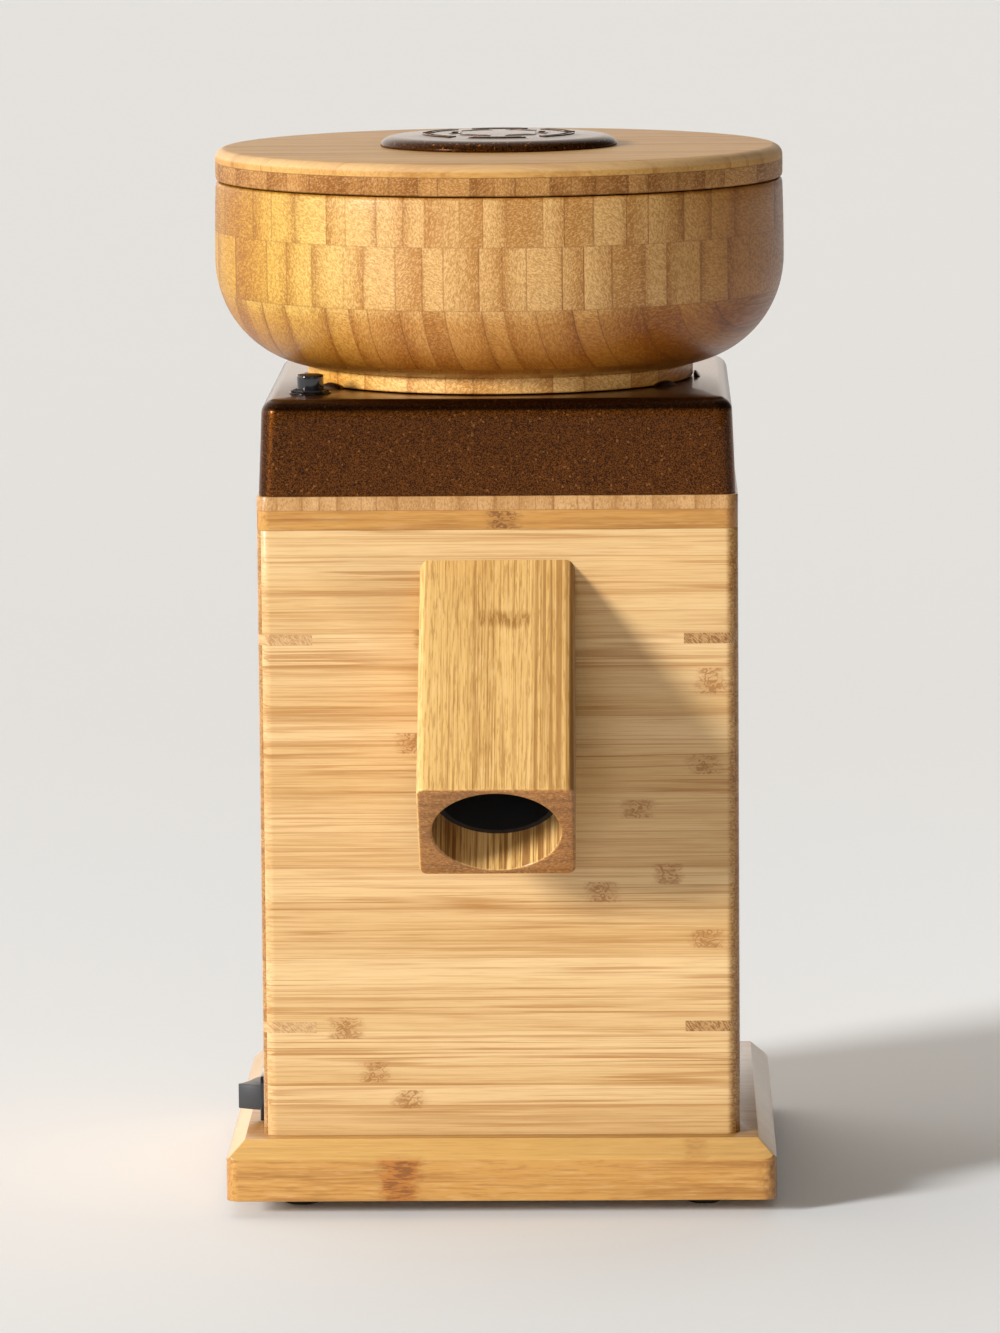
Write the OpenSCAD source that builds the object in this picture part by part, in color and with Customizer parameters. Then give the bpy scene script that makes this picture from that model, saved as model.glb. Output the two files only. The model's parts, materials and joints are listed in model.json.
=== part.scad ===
// Electric stone grain mill with a laminated bamboo body, in millimetres.
// Origin: centre of the footprint on the table. +Z up, the flour spout points to -Y.

/* [Body] */
// Width and depth of the square wooden body
body_w = 171; // [168:0.5:174]
// Thickness of the four wall panels
panel_t = 15; // [14:0.5:16]
// Height of the wall panels
panel_h = 218.5; // [215:0.5:222]
// Thickness of the two-ply board that closes the body
board_t = 12; // [12:0.1:12.4]
// Radius of the body's upright edges
edge_r = 5; // [3:0.5:6]
// Height of the visible mitre spline keys
key_h = 3.8; // [3:0.1:5]
// Length of a spline key along each face
key_leg = 19.4; // [17:0.1:20]

/* [Base] */
// Width and depth of the base plate
base_w = 197; // [194:0.5:200]
// Thickness of the base plate
base_t = 21.5; // [20:0.5:23]
// Chamfer round the top of the base plate
base_ch = 6.6; // [5:0.1:8]
// Height of the rubber feet
foot_h = 5.5; // [5:0.1:6]
// Distance of each foot from the centre lines
foot_xy = 72.5; // [68:0.5:76]

/* [Top cover] */
// Height of the moulded cover over the milling chamber
cap_h = 34.2; // [34:0.1:35]
// Width of the cover at its foot
cap_w = 169.6; // [168:0.1:170.5]
// Wall thickness of the cover
cap_wall = 3; // [2.6:0.1:3.2]

/* [Hopper and lid] */
// Largest radius of the hopper bowl
bowl_r = 103.6; // [102:0.1:105]
// Height of the bowl from its neck to its rim
bowl_h = 72.2; // [70:0.1:74]
// Radius of the neck under the bowl
neck_r = 70.3; // [69:0.1:71]
// Radius of the bowl's opening at the rim
rim_r = 94; // [92.5:0.5:95]
// Thickness of the lid
lid_t = 11.6; // [11:0.1:12]
// Radius of the vent cover in the lid
vent_r = 43; // [42:0.1:44]
// Height of the vent cover above the lid
vent_h = 4.7; // [4:0.1:5]

/* [Spout] */
// Width of the wooden spout block
spout_w = 55; // [54:0.5:57]
// Thickness of the spout block, square to its bore
spout_t = 50.5; // [50:0.5:52]
// Radius of the spout's bore
spout_bore = 22.5; // [22:0.1:22.6]
// How far the upper edge stands out from the front panel
spout_out = 71.5; // [68:0.5:74]

/* [Millstones] */
// Radius of both stones
stone_r = 42.5; // [40:0.5:43]
// Thickness of each stone
stone_t = 16.3; // [16.3:0.1:16.3]
// Radius of the eye in the upper stone
eye_r = 14; // [12:0.5:14.5]
// Gap between the stones at the finest setting
stone_gap = 0.3; // [0.2:0.05:0.3]

/* [Motor] */
// Outer radius of the stator
stator_r = 55; // [54:0.5:55.5]
// Radius of the rotor core
rotor_r = 30; // [28:0.5:30]
// Radius of the shaft
shaft_r = 6; // [6:0.5:6]

/* [Hidden] */
$fn = 96;
e = 0.01;
half = body_w / 2;
inner = half - panel_t;
z_base = foot_h;
z_panel = foot_h + base_t;
z_board = z_panel + panel_h;
z_cap = z_board + board_t;
z_captop = z_cap + cap_h;
z_neck = z_captop + 0.4;
z_rim = z_neck + bowl_h;
// Centre height of the bowl's curves, and the angle at which wall and floor are glued
bowl_z = z_neck + 44;
glue_a = -asin(29 * sin(74) / 38.5);
z_lid = z_rim + 0.4;
z_lidtop = z_lid + lid_t;
z_top = z_lidtop + vent_h;

// Milling chamber levels, counted from the top of the board
z_floor = z_cap - 15.7;
z_flange = z_cap + 4.5;
z_hub = z_floor + 4.4;
z_low = z_hub + 4.5;
z_up = z_low + stone_t + stone_gap;
z_carrier = z_up + stone_t;
z_web = z_captop - 3.7;
lug = 52;

// Spout axis: 45 degrees, from the outlet up into the chamber
sp_y = -half - spout_out + spout_t * sqrt(0.5) / 2;
sp_z = z_board - 10.9 - spout_out - spout_t * sqrt(0.5) / 2;
duct_r = spout_bore + 0.4;
duct_in = 16;
module along_spout() { translate([0, sp_y, sp_z]) rotate([-45, 0, 0]) children(); }

key_z = [z_panel + 37.4, z_panel + 177.4];
pin_a = [30, 150, 270];
pin_r = 54;
sw_y = -53.7;
sw_z = z_panel + 9.3;
sw_tilt = 14;
sw_out = 1.0;
btn = [-67, -57];
cap_scr = [for (x = [-66, 66], y = [-30, 30]) [x, y]];
board_scr = [for (s = [-1, 1], t = [-1, 1]) each [[s * 78, t * 30], [s * 30, t * 78]]];
lugs = [for (x = [-1, 1], y = [-1, 1]) [x * lug, y * lug]];

// Points of a rectangle with round corners
function rr(w, d, r, n = 7) = [for (q = [0 : 3], i = [0 : n - 1])
    let (a = q * 90 + i * 90 / (n - 1), sx = (q == 0 || q == 3) ? 1 : -1, sy = (q < 2) ? 1 : -1)
    [sx * (w / 2 - r) + r * cos(a), sy * (d / 2 - r) + r * sin(a)]];
// Points of an arc in a profile
function arc(cx, cy, rx, ry, a0, a1, n) = [for (i = [0 : n])
    let (a = a0 + (a1 - a0) * i / n) [cx + rx * cos(a), cy + ry * sin(a)]];
module slab(w, d, r, h) { linear_extrude(height = h) polygon(rr(w, d, r)); }
module at(list) { for (p = list) translate([p[0], p[1], 0]) children(); }
module ring(ro, ri, h) { difference() { cylinder(r = ro, h = h); translate([0, 0, -1]) cylinder(r = ri, h = h + 2); } }
// Screw with a round head: head up, shank down from z = 0
module screw(rs, len, rh, hh) {
    rotate_extrude() polygon([[0, -len], [rs * 0.4, -len], [rs, -len + rs], [rs, 0], [rh, 0], [rh, hh * 0.6], [rh * 0.8, hh], [rh * 0.45, hh], [rh * 0.45, hh * 0.45], [0, hh * 0.45]]);
}
// Countersunk screw: flush top at z = 0
module flat_screw(rs, len, rh) {
    rotate_extrude() polygon([[0, -len], [rs * 0.4, -len], [rs, -len + rs], [rs, -(rh - rs)], [rh, 0], [rh * 0.4, 0], [rh * 0.4, -1], [0, -1]]);
}
module flat_hole(rs, len, rh) {
    rotate_extrude() polygon([[0, -len], [rs, -len], [rs, -(rh - rs)], [rh + 0.02, 0.02], [0, 0.02]]);
}

// ---------------------------------------------------------------- base
module base_plate() {
    color("#d9a050") difference() {
        translate([0, 0, z_base]) intersection() {
            slab(base_w, base_w, 4.6, base_t);
            translate([0, base_w, 0]) rotate([90, 0, 0]) linear_extrude(height = 2 * base_w) polygon(roof());
            translate([-base_w, 0, 0]) rotate([90, 0, 90]) linear_extrude(height = 2 * base_w) polygon(roof());
        }
        translate([0, 0, z_base]) intake_holes();
        translate([0, 0, z_base]) at(board_scr) mirror([0, 0, 1]) flat_hole(2.5, base_t + 1, 5);
        translate([0, 0, z_base - e]) at([for (x = [-1, 1], y = [-1, 1]) [x * foot_xy, y * foot_xy]]) cylinder(r = 1.75, h = 12);
    }
}
function roof() = [[-base_w / 2, 0], [base_w / 2, 0], [base_w / 2, base_t - base_ch], [base_w / 2 - base_ch, base_t],
    [-base_w / 2 + base_ch, base_t], [-base_w / 2, base_t - base_ch]];
module intake_holes() {
    for (i = [0 : 11]) rotate([0, 0, i * 30]) translate([34, 0, -1]) cylinder(r = 4, h = base_t + 2);
    for (i = [0 : 5]) rotate([0, 0, i * 60 + 15]) translate([18, 0, -1]) cylinder(r = 4, h = base_t + 2);
}
module base_screws() {
    color("#9a9a94") translate([0, 0, z_base + 0.3]) at(board_scr) rotate([180, 0, 0]) flat_screw(2.4, 45, 4.7);
}
module feet() {
    color("#1b1b1b") at([for (x = [-1, 1], y = [-1, 1]) [x * foot_xy, y * foot_xy]])
        rotate_extrude() polygon(concat([[3.6, 0]], arc(5.2, 1.9, 1.9, 1.9, -90, 0, 4), [[7.3, foot_h], [1.8, foot_h], [1.8, 2.6], [3.6, 2.6]]));
}
module foot_screws() {
    color("#9a9a94") translate([0, 0, 2.6]) at([for (x = [-1, 1], y = [-1, 1]) [x * foot_xy, y * foot_xy]])
        rotate([180, 0, 0]) screw(1.7, 13.5, 3.3, 1.8);
}

// ---------------------------------------------------------------- wooden walls
// Plan of one mitred panel on the -Y side
module wall_plan() {
    intersection() {
        polygon(rr(body_w, body_w, edge_r));
        polygon([[-half - 1, -half - 1], [half + 1, -half - 1], [inner, -inner], [-inner, -inner]]);
    }
}
module wall() {
    difference() {
        translate([0, 0, z_panel]) linear_extrude(height = panel_h) wall_plan();
        for (z = key_z) translate([0, 0, z]) keys();
        for (x = [-30, 30]) translate([x, -78, 0]) {
            translate([0, 0, z_panel - 1]) cylinder(r = 2.45, h = 26);
            translate([0, 0, z_board - 32]) cylinder(r = 2.45, h = 33);
        }
    }
}
module keys() {
    linear_extrude(height = key_h) for (a = [0 : 3]) rotate(a * 90) intersection() {
        polygon(rr(body_w, body_w, edge_r));
        polygon([[half + 1, half + 1], [half - key_leg - 1, half + 1], [half + 1, half - key_leg - 1]]);
    }
}
module front_panel() {
    color("#f0cf9a") difference() {
        wall();
        along_spout() translate([0, 0, -10]) cylinder(r = duct_r + 0.05, h = 220);
    }
}
module back_panel() {
    color("#efcd97") difference() {
        rotate([0, 0, 180]) wall();
        for (i = [0 : 6]) translate([0, half + 1, z_panel + 70 + i * 11]) rotate([90, 0, 0])
            linear_extrude(height = panel_t + 2) polygon(rr(76, 4, 1.9));
        translate([-52, inner - 1, z_panel + 21]) rotate([-90, 0, 0]) cylinder(r = 6.1, h = panel_t + 2);
        translate([-52, inner - 1, z_panel + 21]) rotate([-90, 0, 0]) cylinder(r = 10.5, h = 8);
    }
}
module left_panel() {
    color("#eac68e") difference() {
        rotate([0, 0, -90]) wall();
        translate([-half - 1, sw_y - 9.6, sw_z - 6.6]) cube([panel_t + 2, 19.2, 13.2]);
        translate([-half + 3, sw_y - 13, sw_z - 9.1]) cube([panel_t, 26, 20]);
    }
}
module right_panel() { color("#eac68e") rotate([0, 0, 90]) wall(); }
module spline_keys() { color("#c79a5a") for (z = key_z) translate([0, 0, z]) keys(); }
module top_board() {
    color("#e3b878") difference() {
        translate([0, 0, z_board]) slab(body_w, body_w, edge_r, board_t);
        translate([0, 0, z_board - 1]) cylinder(r = 50.3, h = board_t + 2);
        translate([0, 0, z_board - 1]) at(lugs) cylinder(r = 3.1, h = board_t + 2);
        translate([0, 0, z_board - 1]) at(cap_scr) cylinder(r = 2, h = board_t + 2);
        translate([0, 0, z_cap]) at(board_scr) flat_hole(2.5, board_t + 1, 5);
    }
}
module board_screws() { color("#9a9a94") translate([0, 0, z_cap - 0.3]) at(board_scr) flat_screw(2.4, 42, 4.7); }

// ---------------------------------------------------------------- spout
module spout_block() {
    color("#e9c27c") difference() {
        along_spout() linear_extrude(height = 140) polygon(rr(spout_w, spout_t, 3));
        translate([-60, -half, 40]) cube([120, 300, 300]);
        along_spout() translate([0, 0, -10]) cylinder(r = spout_bore, h = 40);
        // wider socket for the duct, behind a small shoulder
        along_spout() translate([0, 0, duct_in]) cylinder(r = duct_r + 0.05, h = 220);
    }
}
module outlet_duct() {
    color("#141414") difference() {
        along_spout() translate([0, 0, duct_in]) cylinder(r = duct_r, h = 150);
        along_spout() translate([0, 0, 10]) cylinder(r = spout_bore - 2, h = 200);
        translate([-60, -120, z_board - 0.1]) cube([120, 240, 80]);
        translate([0, 0, z_floor - 0.2]) cylinder(r = 50.2, h = 40);
        translate([0, 0, z_floor - 30]) cylinder(r = 16.5, h = 40);
    }
}

// ---------------------------------------------------------------- moulded cover
module cap_solid(inset, z0, top, r) {
    w0 = cap_w - 2 * inset;
    w1 = cap_w - 2.4 - 2 * inset;
    hull() {
        translate([0, 0, z0]) slab(w0, w0, 6.6, e);
        for (i = [0 : 4]) let (a = i * 22.5)
            translate([0, 0, top - r + r * sin(a) - e]) slab(w1 - 2 * r * (1 - cos(a)), w1 - 2 * r * (1 - cos(a)), 6.6 - r * (1 - cos(a)) * 0.7, e);
    }
}
module top_cover() {
    color("#4a2c1c") difference() {
        union() {
            difference() {
                cap_solid(0, z_cap, z_captop, 5);
                difference() {
                    cap_solid(cap_wall, z_cap - 1, z_captop - cap_wall, 2.5);
                    at(cap_scr) cylinder(r = 4.3, h = 400);
                }
            }
        }
        translate([0, 0, z_captop - 6]) cylinder(r = 63.5, h = 10);
        translate([btn[0], btn[1], z_captop - 6]) cylinder(r = 6.1, h = 10);
        translate([0, 0, z_cap - 1]) at(cap_scr) cylinder(r = 1.75, h = 17);
    }
}
module cover_screws() { color("#9a9a94") translate([0, 0, z_board]) at(cap_scr) rotate([180, 0, 0]) screw(1.7, 26, 3.6, 2.2); }

// ---------------------------------------------------------------- milling chamber
module mill_housing() {
    color("#b9bcc0") difference() {
        union() {
            translate([0, 0, z_floor]) cylinder(r = 50, h = 37);
            translate([0, 0, z_floor - 6]) cylinder(r = 15, h = 7);
            translate([0, 0, z_cap]) slab(2 * lug + 17, 2 * lug + 17, 8, z_flange - z_cap);
            translate([0, 0, z_cap + 1]) cylinder(r = 66.5, h = z_captop - 4.4 - z_cap - 1);
        }
        translate([0, 0, z_floor + 3.2]) cylinder(r = 46.5, h = 60);
        translate([0, 0, z_floor - 7]) cylinder(r = 10, h = 20);
        translate([0, 0, z_flange]) ring(62.35, 50, 60);
        translate([0, 0, z_floor + 37]) cylinder(r = 62.35, h = 60);
        translate([0, 0, z_cap - 1]) for (a = pin_a) rotate([0, 0, a]) translate([pin_r, 0, 0]) cylinder(r = 2, h = 10);
        translate([0, 0, z_cap - 1]) at(lugs) cylinder(r = 3.1, h = 10);
        // flour drops through the floor into the duct
        intersection() {
            along_spout() cylinder(r = spout_bore - 2, h = 220);
            translate([0, 0, z_floor - 5]) ring(60, 30, 8.3);
        }
    }
}
module housing_bolts() { color("#8d8f92") translate([0, 0, z_flange]) at(lugs) screw(2.95, 30, 5, 4.5); }
module shaft_seal() { color("#242424") translate([0, 0, z_floor - 5.5]) difference() {
    cylinder(r = 10, h = 8);
    translate([0, 0, -1]) cylinder(r = shaft_r + 0.05, h = 10);
    translate([0, 0, -1]) cylinder(r = 8, h = 4);
} }
module guide_pins() { color("#c9ccd0") for (a = pin_a) rotate([0, 0, a]) translate([pin_r, 0, z_cap]) rotate_extrude()
    polygon([[0, 0], [2, 0], [2, z_web - z_cap - 1.4], [1.4, z_web - z_cap - 0.6], [0, z_web - z_cap - 0.6]]); }
module coil(r, wire, turns, h, steps, sides = 6) {
    pts = [for (i = [0 : steps], k = [0 : sides - 1]) let (t = i / steps, a = 360 * turns * t, b = 360 * k / sides)
        [(r + wire * cos(b)) * cos(a), (r + wire * cos(b)) * sin(a), wire + (h - 2 * wire) * t + wire * sin(b)]];
    faces = concat([[for (k = [0 : sides - 1]) k]],
        [for (i = [0 : steps - 1], k = [0 : sides - 1]) let (a = i * sides + k, b = i * sides + (k + 1) % sides) each [[a, a + sides, b + sides], [a, b + sides, b]]],
        [[for (k = [sides - 1 : -1 : 0]) steps * sides + k]]);
    polyhedron(points = pts, faces = faces);
}
module stone_springs() { color("#a8adb2") for (a = pin_a) rotate([0, 0, a]) translate([pin_r, 0, z_flange + 0.05])
    coil(3.1, 0.5, 7, z_carrier - z_flange - 0.1, 77, 5); }

// Furrows: shallow slots cut in a stone's face
module furrows(n, r0, r1, w, d, lean) {
    for (i = [0 : n - 1]) rotate([0, 0, i * 360 / n]) translate([r0, -w / 2, 0]) rotate([0, 0, lean]) translate([0, 0, -d]) cube([r1, w, 2 * d]);
}
module upper_stone() { color("#d8d3c8") translate([0, 0, z_up]) difference() {
    cylinder(r = stone_r, h = stone_t);
    translate([0, 0, -1]) cylinder(r = eye_r, h = stone_t + 2);
    translate([0, 0, 0]) furrows(12, eye_r - 2, 26, 2.4, 1.1, 25);
    translate([0, 0, stone_t - 10]) for (a = [0, 120, 240]) rotate([0, 0, a]) translate([31, 0, 0]) cylinder(r = 2, h = 11);
} }
module stone_carrier() { color("#3a3c3f") translate([0, 0, z_carrier]) difference() {
    cylinder(r = 58.2, h = z_web - z_carrier - 0.3);
    translate([0, 0, -1]) cylinder(r = eye_r + 2, h = 20);
    for (a = pin_a) rotate([0, 0, a]) translate([pin_r, 0, -1]) cylinder(r = 2.1, h = 20);
    translate([0, 0, z_web - z_carrier - 0.3]) for (a = [0, 120, 240]) rotate([0, 0, a]) translate([31, 0, 0]) flat_hole(2, 8, 3.8);
} }
module stone_screws() { color("#8d8f92") translate([0, 0, z_web - 0.5]) for (a = [0, 120, 240]) rotate([0, 0, a]) translate([31, 0, 0]) flat_screw(1.9, 13, 3.6); }

// ---------------------------------------------------------------- hopper
// The bowl is glued up from two turnings: a floor with the neck, and the wall above it
module hopper_bowl() {
    color("#c98f48") rotate_extrude($fn = 128) polygon(concat(
        arc(66, bowl_z, bowl_r - 66, 38.5, glue_a, 0, 10),
        [[bowl_r, bowl_z + 12], [bowl_r - 0.5, z_rim - 1], [bowl_r - 1.5, z_rim], [rim_r + 0.6, z_rim], [rim_r, z_rim - 0.6], [rim_r, bowl_z + 2]],
        arc(60, bowl_z, rim_r - 60, 29, 0, -74, 12)));
}
module hopper_floor() {
    prof = concat(
        [[17, z_neck], [neck_r - 0.8, z_neck], [neck_r, z_neck + 0.8], [neck_r, z_neck + 5.4]],
        arc(66, bowl_z, bowl_r - 66, 38.5, -80, glue_a, 6),
        [[60 + (rim_r - 60) * cos(74), bowl_z - 29 * sin(74)],
        [46, z_neck + 13.2], [21, z_neck + 8.6], [17.6, z_neck + 7.6], [17, z_neck + 6.2]]);
    color("#c08642") difference() {
        rotate_extrude($fn = 128) polygon(prof);
        translate([0, 0, z_neck - 1]) for (a = [45 : 90 : 315]) rotate([0, 0, a]) translate([35, 0, 0]) cylinder(r = 1.75, h = 8.5);
        translate([0, 0, z_neck - 1]) for (a = [0 : 60 : 300]) rotate([0, 0, a]) translate([55, 0, 0]) cylinder(r = 1.75, h = 8.5);
    }
}
module thread_ring() {
    color("#20201f") difference() {
        rotate_extrude() polygon(concat(
            [[17.5, z_web], [17.5, z_neck], [62.05, z_neck]],
            [for (i = [0 : 4]) each [[62.05, z_neck - 4.5 - i * 3.4], [60.9, z_neck - 5.4 - i * 3.4], [60.9, z_neck - 6.2 - i * 3.4], [62.05, z_neck - 7.1 - i * 3.4]]],
            [[62.05, z_neck - 24], [58.6, z_neck - 24], [58.6, z_web]]));
        translate([0, 0, z_web]) for (a = [45 : 90 : 315]) rotate([0, 0, a]) translate([35, 0, 0]) mirror([0, 0, 1]) flat_hole(1.8, 8, 3.5);
        translate([0, 0, z_web]) for (a = [0 : 60 : 300]) rotate([0, 0, a]) translate([55, 0, 0]) mirror([0, 0, 1]) flat_hole(1.8, 8, 3.5);
    }
}
module ring_screws() { color("#9a9a94") translate([0, 0, z_web + 0.2]) {
    for (a = [45 : 90 : 315]) rotate([0, 0, a]) translate([35, 0, 0]) rotate([180, 0, 0]) flat_screw(1.7, 11, 3.3);
    for (a = [0 : 60 : 300]) rotate([0, 0, a]) translate([55, 0, 0]) rotate([180, 0, 0]) flat_screw(1.7, 11, 3.3);
} }

// ---------------------------------------------------------------- lid
module lid_board() {
    lr = bowl_r - 0.4;
    color("#d2a05c") rotate_extrude($fn = 128) polygon(concat(
        [[36, z_lid], [36, z_lidtop]],
        arc(lr - 3, z_lidtop - 3, 3, 3, 90, 0, 5),
        [[lr, z_lid + 1.2], [lr - 1.2, z_lid], [rim_r - 0.5, z_lid], [rim_r - 0.5, z_lid - 4.4], [rim_r - 1.1, z_lid - 5], [rim_r - 6, z_lid - 5], [rim_r - 6.6, z_lid - 4.4], [rim_r - 7, z_lid]]));
}
module vent_cover() {
    color("#5a3a26") difference() {
        rotate_extrude() polygon(concat([[0, z_lidtop - 1.4], [35.8, z_lidtop - 1.4], [35.8, z_lidtop], [vent_r, z_lidtop], [vent_r, z_lidtop + 0.5]],
            [for (i = [1 : 5]) let (a = i * 18) [vent_r - 6 + 6 * cos(a), z_lidtop + 0.5 + (vent_h - 1.4) * sin(a)]],
            [[24, z_top - 0.35], [12, z_top - 0.08], [0, z_top]]));
        translate([0, 0, z_lidtop - 3]) difference() {
            cylinder(r = 33.5, h = 5.2);
            translate([0, 0, -1]) cylinder(r = 6, h = 9);
        }
        for (k = [0 : 1]) for (i = [0 : 5]) rotate([0, 0, i * 60 + k * 30]) vent_slot(k == 0 ? 16 : 26, k == 0 ? 34 : 40);
    }
    color("#5a3a26") translate([0, 0, z_lid - 2.4]) ring(35.6, 33.6, z_lidtop - 1.4 - z_lid + 2.4);
}
module vent_slot(r, span) {
    translate([0, 0, z_lidtop - 5]) rotate([0, 0, -span / 2]) rotate_extrude(angle = span) translate([r - 1.2, 0]) square([2.4, 20]);
}
module vent_retainer() { color("#1e1e1e") translate([0, 0, z_lid - 2.4]) difference() {
    cylinder(r = 42, h = 2.4);
    translate([0, 0, -1]) cylinder(r = 35.7, h = 5);
} }

// ---------------------------------------------------------------- motor
m_z0 = z_panel + 70;
m_z1 = m_z0 + 64;
module motor_posts() { color("#b4b7ba") at(lugs) translate([0, 0, m_z1 + 29]) difference() {
    cylinder(r = 6.5, h = z_board - m_z1 - 29);
    translate([0, 0, -1]) cylinder(r = 3, h = 17);
    translate([0, 0, z_board - m_z1 - 29 - 16]) cylinder(r = 3, h = 17);
} }
module motor_bolts() { color("#8d8f92") translate([0, 0, m_z1 + 23]) at(lugs) rotate([180, 0, 0]) screw(2.95, 18, 5, 4); }
module stator_core() { color("#7d8084") translate([0, 0, m_z0]) difference() {
    cylinder(r = stator_r, h = 64);
    translate([0, 0, -1]) cylinder(r = rotor_r + 0.5, h = 70);
    for (i = [0 : 11]) rotate([0, 0, i * 30 + 15]) translate([37.5, 0, -1]) cylinder(r = 4, h = 70);
    at(ties) translate([0, 0, -1]) cylinder(r = 2.6, h = 70);
} }
module stator_windings() { color("#a3562a") {
    for (z = [m_z0 - 15, m_z1]) translate([0, 0, z]) rotate_extrude() translate([0, 0]) polygon(rr_at(41, 7.5, 17, 14.9, 4.5));
    translate([0, 0, m_z0 - 1]) for (i = [0 : 11]) rotate([0, 0, i * 30 + 15]) translate([37.5, 0, 0]) cylinder(r = 3.95, h = 66);
} }
function rr_at(cx, cy, w, h, r) = [for (p = rr(w, h, r, 4)) [p[0] + cx, p[1] + cy]];
module top_end_bell() { color("#c3c6ca") translate([0, 0, m_z1]) difference() {
    union() {
        cylinder(r = 61, h = 23.1);
        translate([0, 0, 23]) slab(2 * lug + 14, 2 * lug + 14, 7, 6);
        translate([0, 0, 28]) cylinder(r = 38, h = 6);
        translate([0, 0, 28]) cylinder(r = 19, h = 13);
    }
    translate([0, 0, -1]) cylinder(r = 52, h = 24);
    translate([0, 0, -1]) cylinder(r = stator_r + 0.02, h = 5);
    translate([0, 0, 20]) cylinder(r = 14, h = 20);
    translate([0, 0, 20]) cylinder(r = 10, h = 30);
    for (i = [0 : 7]) rotate([0, 0, i * 45]) translate([29, 0, 20]) cylinder(r = 5.5, h = 30);
    translate([0, 0, 20]) at(lugs) cylinder(r = 3.1, h = 12);
    at(ties) translate([0, 0, -1]) cylinder(r = 2.6, h = 31);
} }
ties = [for (x = [-1, 1], y = [-1, 1]) [x * 40.3, y * 40.3]];
module bottom_end_bell() { color("#c3c6ca") translate([0, 0, m_z0]) difference() {
    translate([0, 0, -26]) union() {
        cylinder(r = 61, h = 26);
        translate([0, 0, -6]) cylinder(r = 19, h = 7);
    }
    translate([0, 0, -21]) cylinder(r = 52, h = 24);
    translate([0, 0, -4]) cylinder(r = stator_r + 0.02, h = 5);
    translate([0, 0, -31]) cylinder(r = 14, h = 20);
    translate([0, 0, -40]) cylinder(r = 10, h = 30);
    for (i = [0 : 7]) rotate([0, 0, i * 45]) translate([31, 0, -40]) cylinder(r = 6, h = 30);
    at(ties) translate([0, 0, -40]) cylinder(r = 2.6, h = 50);
} }
module tie_bolts() { color("#8d8f92") at(ties) translate([0, 0, m_z0 - 26]) rotate([180, 0, 0]) screw(2.5, 104, 4.3, 3.6); }
module bearing() {
    ring(14, 11.6, 8);
    ring(8.4, shaft_r + 0.02, 8);
    for (i = [0 : 8]) rotate([0, 0, i * 40]) translate([10, 0, 4]) sphere(r = 1.5, $fn = 32);
    for (z = [0.5, 6.9]) translate([0, 0, z]) ring(11.5, 8.5, 0.6);
}
module upper_bearing() { color("#d0d3d6") translate([0, 0, m_z1 + 32 - 0.5]) bearing(); }
module lower_bearing() { color("#d0d3d6") translate([0, 0, m_z0 - 31]) bearing(); }

// ---------------------------------------------------------------- rotating group
module rotor_core() { color("#6c6f73") translate([0, 0, m_z0]) ring(rotor_r, 9, 64); }
module rotor_end_rings() { color("#c9ccd0") for (z = [m_z0 - 7, m_z1]) translate([0, 0, z]) difference() {
    ring(rotor_r - 1, 19, 7);
} }
module rotor_shaft() { color("#c4c8cc") difference() {
    rotate_extrude() polygon([[0, m_z0 - 48], [shaft_r - 1, m_z0 - 48], [shaft_r, m_z0 - 47], [shaft_r, m_z0 - 10], [9, m_z0 - 10], [9, m_z1 + 12], [shaft_r, m_z1 + 12],
        [shaft_r, z_hub + 15], [0, z_hub + 15]]);
    translate([0, 0, z_hub]) cylinder(r = 2.5, h = 20);
    translate([-2, 0, z_hub - 1.2]) translate([0, shaft_r - 2.5, 0]) cube([4, 5, 12.4]);
} }
module drive_key() { color("#9a9ea2") translate([-2, shaft_r - 2.5, z_hub - 1.2]) cube([4, 4.5, 12.4]); }
module cooling_fan() { color("#2b2b2c") translate([0, 0, m_z0 - 46]) {
    difference() {
        union() {
            cylinder(r = 12, h = 10);
            translate([0, 0, 8.6]) cylinder(r = 42, h = 1.4);
            for (i = [0 : 8]) rotate([0, 0, i * 40]) translate([11, -0.8, 0]) cube([31, 1.6, 9]);
        }
        translate([0, 0, -1]) cylinder(r = shaft_r + 0.02, h = 20);
    }
} }
module stone_hub() { color("#aeb1b5") difference() {
    union() {
        translate([0, 0, z_hub]) cylinder(r = 44, h = 4.5);
        translate([0, 0, z_hub - 0.8]) cylinder(r = 11, h = 2);
        translate([0, 0, z_hub]) cylinder(r = 11.9, h = 15);
        for (i = [0 : 3]) rotate([0, 0, i * 90]) translate([43, -2, z_hub]) cube([2.9, 4, 4.5]);
    }
    translate([0, 0, z_hub - 2]) cylinder(r = shaft_r + 0.02, h = 20);
    translate([-2, shaft_r - 2.5, z_hub - 1.2]) cube([4, 4.5, 20]);
} }
module lower_stone() { color("#d8d3c8") translate([0, 0, z_low]) difference() {
    cylinder(r = stone_r, h = stone_t);
    translate([0, 0, -1]) cylinder(r = 12, h = stone_t + 2);
    translate([0, 0, 10.5]) cylinder(r = 16.5, h = 10);
    translate([0, 0, stone_t]) furrows(12, 14, 26, 2.4, 1.1, -25);
} }
module hub_washer() { color("#c4c8cc") translate([0, 0, z_hub + 15]) ring(16, 2.7, 2); }
module hub_screw() { color("#8d8f92") translate([0, 0, z_hub + 17]) screw(2.45, 16, 5, 3); }

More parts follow.
